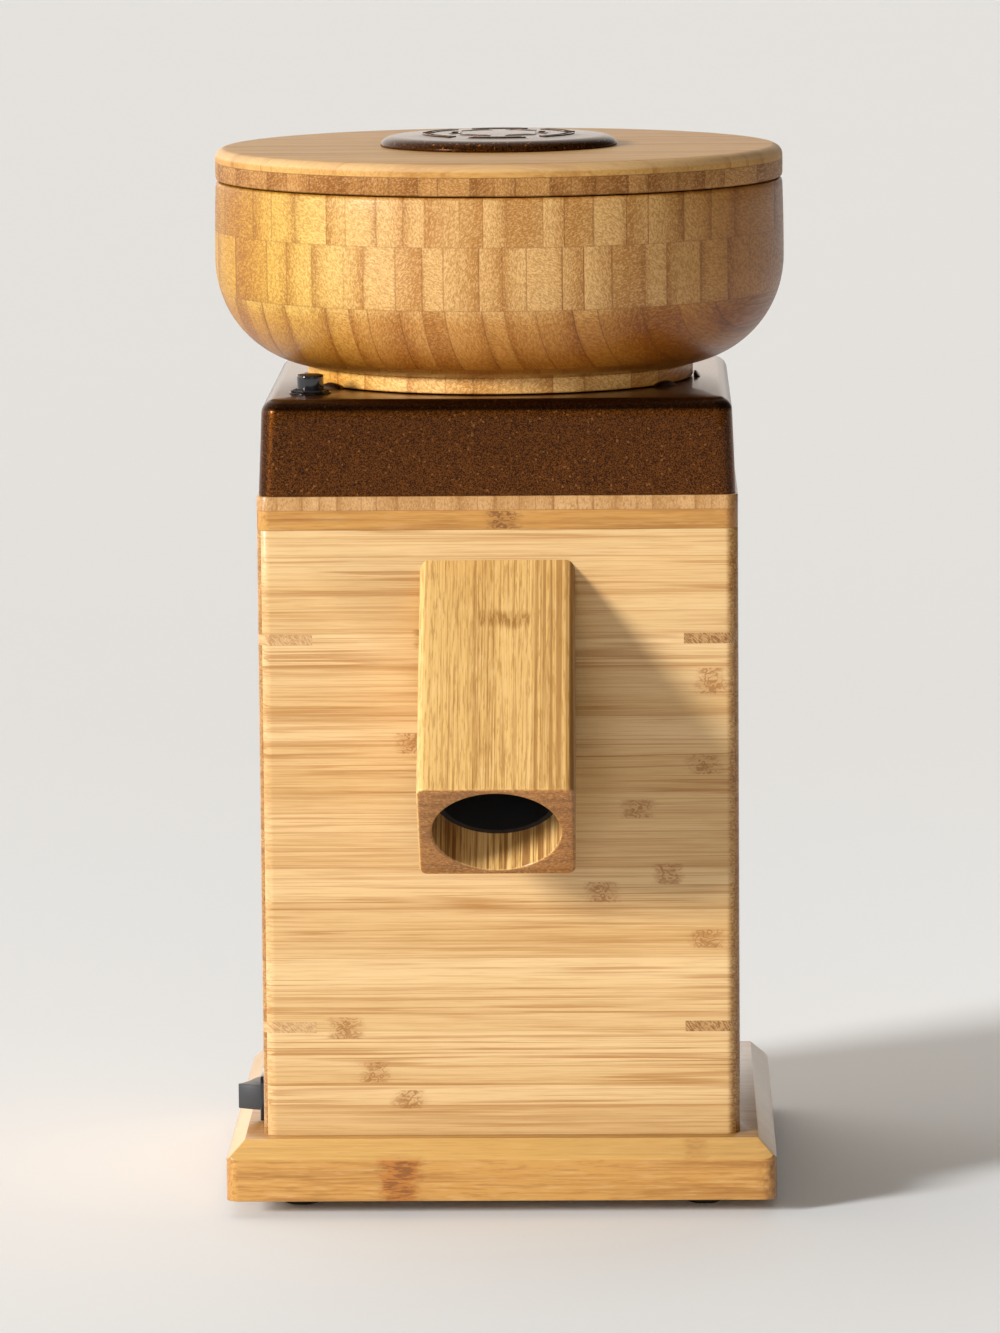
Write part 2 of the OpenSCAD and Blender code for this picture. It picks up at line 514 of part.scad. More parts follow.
// ---------------------------------------------------------------- controls
module switch_body() { color("#161616") translate([-half, sw_y, sw_z]) difference() {
    union() {
        translate([-1.2 - sw_out, -10.8, -8.2]) cube([1.2 + sw_out, 21.6, 16.4]);
        translate([-0.1 - sw_out, -9.5, -6.5]) cube([14.5 + sw_out, 19, 13]);
        for (y = [-7, 0, 7]) translate([14, y - 0.4, -2.4]) cube([8, 0.8, 4.8]);
    }
    translate([-2 - sw_out, -9.5 + 0.1, -4.8]) cube([2.2, 18.8, 9.6]);
    translate([-sw_out, 0, -4.8]) cylinder(r = 9.4, h = 9.6);
} }
// Rocker outline in plan about its pivot: outer side to -X
module rocker_plan() {
    polygon([[5.5, -4], [5.5, 4], [1.5, 9.05], [-2.5, 8.8], [-4.3, 7.95], [-5.5, 0.3], [-8.0, -7.4], [-2.5, -8.8], [1.5, -9.05]]);
}
module switch_rocker() { color("#1c1c1d") translate([-half - sw_out, sw_y, sw_z - 4.5]) rotate([0, 0, -sw_tilt]) linear_extrude(height = 9) rocker_plan(); }
module reset_breaker() { color("#19191a") translate([btn[0], btn[1], 0]) difference() {
    union() {
        translate([0, 0, z_captop - 6.2]) cylinder(r = 6, h = 7.6);
        translate([-8, -7, z_captop - 27]) cube([16, 14, 22]);
        for (x = [-4, 4]) translate([x - 2, -0.4, z_captop - 33.2]) cube([4, 0.8, 7]);
    }
    translate([0, 0, z_captop - 18]) cylinder(r = 5.1, h = 30);
} }
module breaker_nut() { color("#c8ccd0") translate([btn[0], btn[1], z_captop]) difference() {
    union() {
        cylinder(r = 7.5, h = 0.5);
        translate([0, 0, 0.5]) rotate([0, 0, 10]) cylinder(r = 7.0, h = 0.8, $fn = 6);
    }
    translate([0, 0, -1]) cylinder(r = 6.02, h = 5);
} }
module reset_button() { color("#101011") translate([btn[0], btn[1], 0]) rotate_extrude() polygon([[0, z_captop - 8], [4.8, z_captop - 8],
    [4.8, z_captop + 6.0], [4.5, z_captop + 6.55], [3.9, z_captop + 6.75], [0, z_captop + 6.8]]); }
module reset_spring() { color("#a8adb2") translate([btn[0], btn[1], z_captop - 17.95]) coil(3.2, 0.4, 5, 9.9, 60, 5); }

// ---------------------------------------------------------------- electrical parts
module run_capacitor() { color("#d9dad6") translate([0, 56, z_panel + 14]) rotate([0, 90, 0]) translate([0, 0, -30]) {
    rotate_extrude() polygon([[0, 0], [12, 0], [13, 1], [13, 58], [12, 60], [0, 60]]);
    for (y = [-4, 4]) translate([-2.4, y - 0.4, 59.5]) cube([4.8, 0.8, 7]);
} }
module capacitor_clips() { color("#b4b7ba") for (x = [-17, 17]) translate([x - 4, 56, z_panel]) difference() {
    union() {
        translate([0, 0, 14]) rotate([0, 90, 0]) cylinder(r = 13.95, h = 8);
        translate([0, -13.95, 0]) cube([8, 27.9, 14]);
    }
    translate([-1, 0, 14]) rotate([0, 90, 0]) cylinder(r = 13.05, h = 10);
    translate([-1, -13, 1.2]) cube([10, 26, 12.8]);
} }
module terminal_block() { color("#e8e6dd") translate([46, -8, z_panel]) difference() {
    union() { cube([16, 36, 9]); translate([4, 0, 0]) cube([8, 36, 14]); }
    for (i = [0 : 2]) translate([8, 6 + i * 12, 5]) cylinder(r = 2, h = 12);
    for (i = [0 : 1]) translate([8, 12 + i * 12, -1]) cylinder(r = 1.6, h = 20);
} }
module cord_gland() { color("#151515") translate([-52, half, z_panel + 21]) rotate([-90, 0, 0]) difference() {
    union() {
        translate([0, 0, -panel_t - 0]) cylinder(r = 6, h = panel_t + 4);
        translate([0, 0, 0]) cylinder(r = 10.4, h = 2.2);
        translate([0, 0, 2.2]) cylinder(r = 9.4, h = 6.5, $fn = 6);
        translate([0, 0, 8.7]) cylinder(r1 = 8, r2 = 6.4, h = 4.3);
        translate([0, 0, -13]) cylinder(r = 9.4, h = 5, $fn = 6);
    }
    translate([0, 0, -panel_t - 5]) cylinder(r = 3.75, h = panel_t + 30);
} }

base_plate();
base_screws();
feet();
foot_screws();
front_panel();
back_panel();
left_panel();
right_panel();
spline_keys();
top_board();
board_screws();
spout_block();
outlet_duct();
top_cover();
cover_screws();
mill_housing();
housing_bolts();
shaft_seal();
guide_pins();
stone_springs();
upper_stone();
stone_carrier();
stone_screws();
hopper_bowl();
hopper_floor();
thread_ring();
ring_screws();
lid_board();
vent_cover();
vent_retainer();
motor_posts();
motor_bolts();
stator_core();
stator_windings();
top_end_bell();
bottom_end_bell();
tie_bolts();
upper_bearing();
lower_bearing();
rotor_core();
rotor_end_rings();
rotor_shaft();
cooling_fan();
stone_hub();
drive_key();
lower_stone();
hub_washer();
hub_screw();
switch_body();
switch_rocker();
reset_breaker();
breaker_nut();
reset_button();
reset_spring();
run_capacitor();
capacitor_clips();
terminal_block();
cord_gland();
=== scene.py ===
import json
import math

import bmesh
import bpy
from mathutils import Matrix, Vector


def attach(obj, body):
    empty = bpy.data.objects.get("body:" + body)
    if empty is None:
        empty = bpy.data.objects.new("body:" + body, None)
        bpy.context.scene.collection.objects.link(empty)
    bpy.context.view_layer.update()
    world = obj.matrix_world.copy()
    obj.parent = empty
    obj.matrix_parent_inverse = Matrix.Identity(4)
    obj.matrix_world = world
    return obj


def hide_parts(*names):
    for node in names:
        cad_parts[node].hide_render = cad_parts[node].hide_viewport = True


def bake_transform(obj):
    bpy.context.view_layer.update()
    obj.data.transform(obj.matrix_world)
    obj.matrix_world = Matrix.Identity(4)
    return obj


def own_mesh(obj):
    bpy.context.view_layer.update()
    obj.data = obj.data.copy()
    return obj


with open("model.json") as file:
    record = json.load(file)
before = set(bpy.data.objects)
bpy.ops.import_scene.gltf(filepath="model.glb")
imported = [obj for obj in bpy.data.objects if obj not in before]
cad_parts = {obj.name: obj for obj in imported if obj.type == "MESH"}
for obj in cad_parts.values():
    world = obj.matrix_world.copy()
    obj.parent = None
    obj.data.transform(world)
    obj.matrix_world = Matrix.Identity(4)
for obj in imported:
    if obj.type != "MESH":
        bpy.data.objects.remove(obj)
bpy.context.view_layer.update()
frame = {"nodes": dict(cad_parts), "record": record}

MM = 0.001
COLL = bpy.context.scene.collection
SQ = math.sqrt(0.5)


# ------------------------------------------------------------------ node helpers
class Tree:
    """Short names for building a node tree."""

    def __init__(self, tree):
        self.t, self.n, self.l = tree, tree.nodes, tree.links

    def new(self, kind, **props):
        nd = self.n.new(kind)
        for k, v in props.items():
            setattr(nd, k, v)
        return nd

    def put(self, sock, v):
        if v is None:
            return
        if isinstance(v, bpy.types.NodeSocket):
            self.l.new(v, sock)
        else:
            sock.default_value = v

    def m(self, op, a, b=None, c=None, clamp=False):
        nd = self.new("ShaderNodeMath", operation=op, use_clamp=clamp)
        for s, v in zip(nd.inputs, (a, b, c)):
            self.put(s, v)
        return nd.outputs[0]

    def add(self, a, b): return self.m("ADD", a, b)
    def sub(self, a, b): return self.m("SUBTRACT", a, b)
    def mul(self, a, b): return self.m("MULTIPLY", a, b)

    def xyz(self, v):
        nd = self.new("ShaderNodeSeparateXYZ")
        self.put(nd.inputs[0], v)
        return nd.outputs[0], nd.outputs[1], nd.outputs[2]

    def vec(self, x, y, z):
        nd = self.new("ShaderNodeCombineXYZ")
        for s, v in zip(nd.inputs, (x, y, z)):
            self.put(s, v)
        return nd.outputs[0]

    def noise(self, v, scale=1.0, detail=2.0, rough=0.5, dist=0.0):
        nd = self.new("ShaderNodeTexNoise")
        self.put(nd.inputs["Vector"], v)
        nd.inputs["Scale"].default_value = scale
        nd.inputs["Detail"].default_value = detail
        nd.inputs["Roughness"].default_value = rough
        nd.inputs["Distortion"].default_value = dist
        return nd.outputs[0]

    def white(self, v):
        nd = self.new("ShaderNodeTexWhiteNoise", noise_dimensions="3D")
        self.put(nd.inputs["Vector"], v)
        return nd.outputs["Color"]

    def voronoi(self, v, scale=1.0, feature="F1", rand=1.0):
        nd = self.new("ShaderNodeTexVoronoi", feature=feature)
        self.put(nd.inputs["Vector"], v)
        nd.inputs["Scale"].default_value = scale
        nd.inputs["Randomness"].default_value = rand
        return nd.outputs["Distance"], nd.outputs["Color"]

    def mix(self, f, a, b, blend="MIX"):
        nd = self.new("ShaderNodeMix", data_type="RGBA", blend_type=blend)
        nd.clamp_factor = True
        self.put(nd.inputs[0], f)
        self.put(nd.inputs[6], tuple(a) + (1.0,) if isinstance(a, (tuple, list)) and len(a) == 3 else a)
        self.put(nd.inputs[7], tuple(b) + (1.0,) if isinstance(b, (tuple, list)) and len(b) == 3 else b)
        return nd.outputs[2]

    def lerp(self, f, a, b):
        nd = self.new("ShaderNodeMix", data_type="FLOAT")
        for s, v in zip((nd.inputs[0], nd.inputs[2], nd.inputs[3]), (f, a, b)):
            self.put(s, v)
        return nd.outputs[0]

    def step(self, x, lo, hi, a=0.0, b=1.0):
        nd = self.new("ShaderNodeMapRange", interpolation_type="SMOOTHSTEP")
        for s, v in zip(nd.inputs, (x, lo, hi, a, b)):
            self.put(s, v)
        return nd.outputs[0]

    def ramp(self, f, stops):
        nd = self.new("ShaderNodeValToRGB")
        self.put(nd.inputs[0], f)
        el = nd.color_ramp.elements
        while len(el) < len(stops):
            el.new(0.5)
        for e, (p, c) in zip(el, stops):
            e.position, e.color = p, (*c, 1.0)
        return nd.outputs[0]

    def coords(self):
        return self.new("ShaderNodeTexCoord").outputs["Object"]

    def bump(self, height, strength, distance):
        nd = self.new("ShaderNodeBump")
        nd.inputs["Strength"].default_value = strength
        nd.inputs["Distance"].default_value = distance
        self.put(nd.inputs["Height"], height)
        return nd.outputs[0]


def material(name):
    mat = bpy.data.materials.new(name)
    mat.use_nodes = True
    mat.node_tree.nodes.clear()
    return mat, Tree(mat.node_tree)


def surface(t, color, rough=0.4, metal=0.0, normal=None, coat=0.0, coat_rough=0.05, spec=0.5, sheen=0.0, aniso=0.0, coat_normal=None):
    nd = t.new("ShaderNodeBsdfPrincipled")
    t.put(nd.inputs["Base Color"], (*color, 1.0) if isinstance(color, tuple) and len(color) == 3 else color)
    t.put(nd.inputs["Roughness"], rough)
    t.put(nd.inputs["Metallic"], metal)
    t.put(nd.inputs["Normal"], normal)
    nd.inputs["Coat Weight"].default_value = coat
    nd.inputs["Coat Roughness"].default_value = coat_rough
    nd.inputs["Specular IOR Level"].default_value = spec
    nd.inputs["Sheen Weight"].default_value = sheen
    nd.inputs["Anisotropic"].default_value = aniso
    if coat_normal is not None:
        t.put(nd.inputs["Coat Normal"], coat_normal)
    out = t.new("ShaderNodeOutputMaterial")
    t.l.new(nd.outputs[0], out.inputs[0])
    return nd


# ------------------------------------------------------------------ bamboo
PALE = dict(light=(0.630, 0.430, 0.211), mid=(0.525, 0.321, 0.126), dark=(0.35, 0.163, 0.042), knot=(0.26, 0.105, 0.022))
# Side walls: a darker copy of the front wall's palette, as painted shade on the sides
WALL = dict(light=(0.56, 0.345, 0.150), mid=(0.44, 0.235, 0.080), dark=(0.28, 0.118, 0.028), knot=(0.21, 0.080, 0.016))
HONEY = dict(light=(0.48, 0.250, 0.062), mid=(0.39, 0.178, 0.036), dark=(0.24, 0.088, 0.015), knot=(0.11, 0.030, 0.005))
YELLOW = dict(light=(0.690, 0.445, 0.163), mid=(0.580, 0.335, 0.102), dark=(0.30, 0.135, 0.030), knot=(0.27, 0.120, 0.022))
BOWL = dict(light=(0.57, 0.335, 0.118), mid=(0.385, 0.180, 0.042), dark=(0.185, 0.066, 0.012), knot=(0.12, 0.042, 0.009))
LID = dict(light=(0.50, 0.284, 0.088), mid=(0.405, 0.206, 0.053), dark=(0.30, 0.130, 0.028), knot=(0.20, 0.078, 0.016))
# The lid's lower ply: its own end-grain tone, darkened further as painted shade below the rounded top edge
RIM = dict(light=(0.39, 0.190, 0.055), mid=(0.235, 0.092, 0.019), dark=(0.12, 0.042, 0.007), knot=(0.12, 0.042, 0.009))
BOARD = dict(light=(0.48, 0.275, 0.110), mid=(0.37, 0.190, 0.062), dark=(0.24, 0.100, 0.025), knot=(0.16, 0.058, 0.013))


def bamboo(t, g, w, l, pal, W=0.009, seed=1.0, wave=0.22, period=0.23, knots=1.0, streaks=1.0, speck=1.0, glue=1.0, tone=1.0,
           grade=0.35, row=None, hatch=0.0, broad=1.0, band=1.0, dash=90.0, dot=1.0, vein=0.0, dense=0.0):
    """Laminated bamboo in the solid: g runs along the fibres, w across the strips, l through their depth, all in metres.
    Returns colour, a height for bump, and a 0 to 1 value that roughness follows."""
    u = t.m("DIVIDE", w, W)
    if row is not None:
        u = t.add(u, t.mul(row, 0.37))
    f = t.add(u, t.mul(t.m("SINE", t.add(t.mul(u, 2.3), seed)), wave))
    i, fr = t.m("FLOOR", f), t.m("FRACT", f)
    hx, hy, hz = t.xyz(t.white(t.vec(i, row if row is not None else 0.0, seed)))
    off = t.mul(hx, 9.0)
    # Fibres: long and thin along g, so a cut across them shows dots
    a, b = w, l
    if hatch:
        ang = t.mul(t.sub(hy, 0.5), hatch)
        ca, sa = t.m("COSINE", ang), t.m("SINE", ang)
        a = t.sub(t.mul(w, ca), t.mul(l, sa))
        b = t.add(t.mul(w, sa), t.mul(l, ca))
    fine = t.noise(t.vec(t.add(t.mul(g, dash), off), t.mul(a, 1700.0 * dot), t.add(t.mul(b, 950.0 * dot), off)), 1.0, 2.0, 0.6, 0.8 * dense)
    mid = t.noise(t.vec(t.add(t.mul(g, 9.0), t.mul(off, 1.7)), t.mul(w, 850.0), t.add(t.mul(l, 420.0), off)), 1.0, 2.0, 0.6)
    thin = t.noise(t.vec(t.add(t.mul(g, 17.0), t.mul(off, 2.3)), t.mul(w, 2100.0), t.add(t.mul(l, 900.0), off)), 1.0, 2.0, 0.6)
    slow = t.noise(t.vec(t.add(t.mul(g, 5.0), t.mul(hz, 11.0)), t.mul(w, 75.0), t.add(t.mul(l, 60.0), off)), 1.0, 1.0, 0.5)
    # Strip tone: own value, slow drift along it, denser towards one edge
    side = t.m("ABSOLUTE", t.sub(fr, t.m("ROUND", hz)))
    tn = t.add(t.mul(t.sub(hy, 0.5), 0.95 * tone), t.mul(t.sub(slow, 0.5), 1.3 * broad))
    tn = t.add(tn, t.mul(t.sub(t.m("POWER", side, 2.0), 0.33), grade))
    tn = t.m("ADD", tn, 0.42, clamp=True)
    col = t.mix(tn, pal["light"], pal["mid"])
    # Amber band along the dense edge, broken up along the strip
    wob = t.mul(t.sub(t.noise(t.vec(t.mul(g, 11.0), t.mul(i, 3.7), seed), 1.0, 2.0, 0.6), 0.5), 0.55)
    edge = t.step(t.add(side, wob), 0.80, 0.98)
    edge = t.mul(edge, t.step(slow, 0.36, 0.60))
    col = t.mix(t.m("MULTIPLY", t.mul(edge, t.lerp(thin, 0.45, 1.0)), 0.85 * band, clamp=True), col, pal["dark"])
    # Long thin amber lines, more of them on some strips
    if vein:
        act = t.mul(t.step(hz, 0.05, 0.9, 0.40, 1.0), t.lerp(side, 0.6, 1.15))
        vn = t.noise(t.vec(t.add(t.mul(g, 5.5), t.mul(off, 1.3)), t.mul(w, 460.0), t.add(t.mul(l, 250.0), off)), 1.0, 1.5, 0.5)
        ln = t.step(t.m("ABSOLUTE", t.sub(vn, 0.5)), 0.070, 0.022)
        gate = t.noise(t.vec(t.add(t.mul(g, 16.0), t.mul(off, 0.7)), t.mul(w, 170.0), t.mul(l, 90.0)), 1.0, 1.0, 0.5)
        ln = t.mul(ln, t.step(gate, 0.40, 0.60))
        col = t.mix(t.m("MULTIPLY", t.mul(ln, act), vein, clamp=True), col, pal["dark"])
    # Dark streaks
    st = t.mul(t.step(mid, 0.56, 0.70), t.add(0.22, t.mul(side, 0.85)))
    col = t.mix(t.m("MULTIPLY", st, 0.70 * streaks, clamp=True), col, pal["dark"])
    col = t.mix(t.m("MULTIPLY", t.step(thin, 0.50, 0.66), 0.42 * streaks, clamp=True), col, pal["dark"])
    col = t.mix(t.m("MULTIPLY", t.step(thin, 0.47, 0.32), 0.45 * streaks, clamp=True), col, pal["light"])
    sp = t.step(fine, 0.50 - 0.05 * dense, 0.68 - 0.10 * dense)
    col = t.mix(t.m("MULTIPLY", sp, 0.50 * speck, clamp=True), col, pal["dark"])
    lite = t.step(fine, 0.46 + 0.04 * dense, 0.28 + 0.10 * dense)
    col = t.mix(t.m("MULTIPLY", lite, 0.40 * speck, clamp=True), col, t.mix(0.4, pal["light"], (0.80, 0.60, 0.36)))
    # Knuckles
    kn = None
    if knots:
        gk = t.add(g, t.mul(t.add(t.mul(i, 0.618), t.mul(hx, 0.35)), period))
        d = t.mul(t.sub(t.m("FRACT", t.m("DIVIDE", gk, period)), 0.5), period)
        wob = t.sub(t.noise(t.vec(t.mul(g, 60.0), t.mul(w, 260.0), t.mul(l, 200.0)), 1.0, 2.0, 0.6), 0.5)
        d = t.m("ABSOLUTE", t.add(d, t.mul(wob, 0.014)))
        env = t.mul(t.step(d, 0.0080, 0.0010), t.step(hz, 0.40, 0.62))
        tex = t.noise(t.vec(t.mul(g, 420.0), t.mul(w, 620.0), t.mul(l, 500.0)), 1.0, 2.0, 0.65)
        kn = t.mul(env, t.step(tex, 0.40, 0.62))
        col = t.mix(t.m("MULTIPLY", env, 0.28 * knots, clamp=True), col, pal["dark"])
        col = t.mix(t.m("MULTIPLY", kn, 0.62 * knots, clamp=True), col, pal["knot"])
    # Glue line
    e = t.mul(t.m("MINIMUM", fr, t.sub(1.0, fr)), W)
    gl = t.mul(t.step(e, 0.00042, 0.00008), t.add(0.25, t.mul(hx, 0.75)))
    col = t.mix(t.m("MULTIPLY", gl, 0.55 * glue, clamp=True), col, pal["dark"])
    height = t.sub(t.mul(fine, 0.6), t.mul(gl, 0.7))
    if kn is not None:
        height = t.sub(height, t.mul(kn, 0.4))
    return col, height, fine


def spots(t, col, axis_a, axis_b, places, pal, amount=0.8, comb=False, stain=0.0):
    """Single knuckles at listed places: each is (a, b, half length, half height) in metres on two axes."""
    wob = t.mul(t.sub(t.noise(t.vec(t.mul(axis_a, 130.0), t.mul(axis_b, 300.0), 0.5), 1.0, 3.0, 0.65), 0.5), 1.5)
    if comb:
        tex = t.noise(t.vec(t.mul(axis_a, 170.0), t.mul(axis_b, 1100.0), 1.5), 1.0, 2.0, 0.6)
        ink = t.step(tex, 0.46, 0.56)
    else:
        # Curled contour lines, and fine fibres between them
        tex = t.noise(t.vec(t.mul(axis_a, 170.0), t.mul(axis_b, 210.0), 1.5), 1.0, 2.0, 0.55)
        curl = t.m("ABSOLUTE", t.sub(t.m("FRACT", t.mul(tex, 7.0)), 0.5))
        fib = t.noise(t.vec(t.mul(axis_a, 260.0), t.mul(axis_b, 1100.0), 4.5), 1.0, 2.0, 0.6)
        ink = t.m("MAXIMUM", t.step(curl, 0.26, 0.10), t.mul(t.step(fib, 0.50, 0.60), 0.7))
    total = 0.0
    for ca, cb, ha, hb in places:
        da = t.m("DIVIDE", t.sub(axis_a, ca), ha)
        db = t.m("DIVIDE", t.sub(axis_b, cb), hb)
        fade = t.step(t.m("ABSOLUTE", t.add(da, wob)), 1.25, 0.25)
        total = t.m("MAXIMUM", total, t.mul(fade, t.step(t.m("ABSOLUTE", db), 1.0, 0.85)))
    if stain:
        col = t.mix(t.m("MULTIPLY", t.step(total, 0.20, 0.75), stain, clamp=True), col, (0.415, 0.150, 0.022))
    col = t.mix(t.m("MULTIPLY", total, 0.42 * amount, clamp=True), col, pal["dark"])
    return t.mix(t.m("MULTIPLY", t.mul(total, ink), 0.85 * amount, clamp=True), col, pal["knot"])


def wood_finish(t, col, height, fine, rough=0.36, coat=0.22, coat_rough=0.16, strength=0.22, spec=0.4):
    r = t.add(rough - 0.06, t.mul(fine, 0.12))
    return surface(t, col, r, 0.0, t.bump(height, strength, 0.00025), coat, coat_rough, spec)


def wood_panel(name, along, pal=PALE, W=0.0088, seed=1.0, places=(), end_grain_and_shade=(1.0, 1.0), **kw):
    """A wall board: strips lie flat, boundaries are level planes. along is the fibre axis, 0 for X or 1 for Y.
    The pair of end factors says how much darker the rounding is at the low and high end: end grain where it cuts across
    the fibres, and, at the end given the larger factor, painted shade on the side away from the key light."""
    mat, t = material(name)
    x, y, z = t.xyz(t.coords())
    g, l = (x, y) if along == 0 else (y, x)
    col, h, f = bamboo(t, g, z, l, pal, W, seed, **kw)
    if places:
        front = t.step(l, -0.0835, -0.0845)
        spotted = spots(t, col, g, z, places, pal, 0.85)
        col = t.mix(front, col, spotted)
    nrm = t.xyz(t.new("ShaderNodeNewGeometry").outputs["Normal"])[along]
    # End-grain darkening of the rounding; where the two end factors differ, the difference is painted shade
    end = t.mul(t.step(t.m("ABSOLUTE", nrm), 0.06, 0.50), t.step(g, -0.01, 0.01, end_grain_and_shade[0], end_grain_and_shade[1]))
    dots = t.noise(t.vec(t.mul(g, 900.0), t.mul(z, 1300.0), t.mul(l, 900.0)), 1.0, 2.0, 0.6)
    col = t.mix(t.m("MULTIPLY", end, 1.0, clamp=True), col, t.mix(t.step(dots, 0.40, 0.60), t.mix(1.0, col, (0.80, 0.70, 0.52), "MULTIPLY"), t.mix(1.0, col, (0.54, 0.42, 0.28), "MULTIPLY")))
    wood_finish(t, col, h, f)
    return mat


def wood_two_ply(name, split, upper, lower, pal_u, pal_l, places=(), corner=0.0, painted_rim_sheen=0.0, **finish):
    """Two crossed plies that meet at height split. upper and lower are (fibre axis, keyword dict)."""
    mat, t = material(name)
    x, y, z = t.xyz(t.coords())
    outs = []
    for (axis, kw), pal in ((upper, pal_u), (lower, pal_l)):
        g, w = (x, y) if axis == 0 else (y, x)
        outs.append(bamboo(t, g, w, z, pal, **kw))
    if places:
        c, h, f = outs[1]
        outs[1] = (spots(t, c, x, z, places, pal_l), h, f)
    s = t.step(z, split - 0.00004, split + 0.00004)
    col = t.mix(s, outs[1][0], outs[0][0])
    # Painted shade: faces turned to +X, away from the key light, are darkened by the corner factor
    if corner:
        nx = t.xyz(t.new("ShaderNodeNewGeometry").outputs["Normal"])[0]
        col = t.mix(t.mul(t.step(nx, 0.06, 0.50), corner), col, t.mix(1.0, col, (0.66, 0.54, 0.38), "MULTIPLY"))
    line = t.step(t.m("ABSOLUTE", t.sub(z, split)), 0.0003, 0.00005)
    col = t.mix(t.mul(line, 0.5), col, pal_l["dark"])
    # Painted highlight: the upper ply's upward-facing rounding is lightened toward pale tan, standing in for a sheen
    if painted_rim_sheen:
        nz = t.xyz(t.new("ShaderNodeNewGeometry").outputs["Normal"])[2]
        rim_sheen_mask = t.mul(t.mul(t.step(nz, 0.10, 0.40), t.step(nz, 0.985, 0.90)), s)
        col = t.mix(t.mul(rim_sheen_mask, painted_rim_sheen), col, (0.70, 0.53, 0.33))
    wood_finish(t, col, t.lerp(s, outs[1][1], outs[0][1]), t.lerp(s, outs[1][2], outs[0][2]), **finish)
    return mat


def wood_bowl(name):
    """Turned from stacked rings of blocks: rows by height, each ring of blocks turned a little on its own."""
    mat, t = material(name)
    x, y, z = t.xyz(t.coords())
    row = t.m("FLOOR", t.m("DIVIDE", t.sub(z, 0.302), 0.02245))
    third = t.mul(t.step(row, 0.4, 0.6, 1.0, 0.0), t.step(z, 0.3018, 0.3022))
    ang = t.lerp(third, t.mul(row, 0.03), 0.35)
    ca, sa = t.m("COSINE", ang), t.m("SINE", ang)
    w = t.sub(t.mul(x, ca), t.mul(y, sa))
    g = t.add(t.mul(y, ca), t.mul(x, sa))
    neck = t.step(z, 0.2995, 0.3000)
    w = t.mul(w, t.lerp(neck, 0.74, 1.0))
    col, h, f = bamboo(t, g, w, z, BOWL, W=0.0097, seed=4.0, wave=0.16, knots=0.0, streaks=0.35, speck=0.85, glue=1.2,
                       tone=1.65, grade=1.15, row=row, hatch=2.6, broad=0.30, band=0.5, dash=30.0, dot=1.05, dense=0.9)
    rx, ry, rz = t.xyz(t.white(t.vec(row, 7.0, 3.0)))
    above = t.step(z, 0.2985, 0.3010)
    low = t.mul(t.step(z, 0.326, 0.302), above)
    col = t.mix(t.add(t.mul(t.sub(rx, 0.4), 0.20), t.mul(low, 0.24)), col, BOWL["mid"])
    e = t.m("ABSOLUTE", t.sub(t.m("FRACT", t.add(t.m("DIVIDE", t.sub(z, 0.302), 0.02245), 0.5)), 0.5))
    line = t.step(e, 0.016, 0.003)
    col = t.mix(t.mul(line, 0.30), col, BOWL["dark"])
    # Long grain, at the bowl's sides, is a deeper gold than end grain
    nx, ny, nz = t.xyz(t.new("ShaderNodeNewGeometry").outputs["True Normal"])
    across = t.step(t.m("ABSOLUTE", t.add(t.mul(ny, ca), t.mul(nx, sa))), 0.95, 0.45)
    col = t.mix(across, col, t.mix(1.0, col, (0.80, 0.62, 0.31), "MULTIPLY"))
    col = t.mix(t.mul(t.step(z, 0.327, 0.318), above), col, t.mix(1.0, col, (0.84, 0.69, 0.46), "MULTIPLY"))
    # Painted light: the neck below the bowl, which lies in the bowl's shadow, is brightened about one and a half times
    col = t.mix(t.sub(1.0, above), col, t.mix(1.0, col, (1.46, 1.49, 1.50), "MULTIPLY"))
    col = t.mix(t.step(x, -0.030, -0.085), col, t.mix(1.0, col, (1.03, 1.16, 0.76), "MULTIPLY"))
    # Painted shade: the bowl's right side (+X), away from the key light, is darkened
    col = t.mix(t.step(x, 0.050, 0.098), col, t.mix(1.0, col, (0.70, 0.61, 0.46), "MULTIPLY"))
    wood_finish(t, col, h, f, rough=0.42, coat=0.12, coat_rough=0.18, strength=0.5, spec=0.3)
    return mat


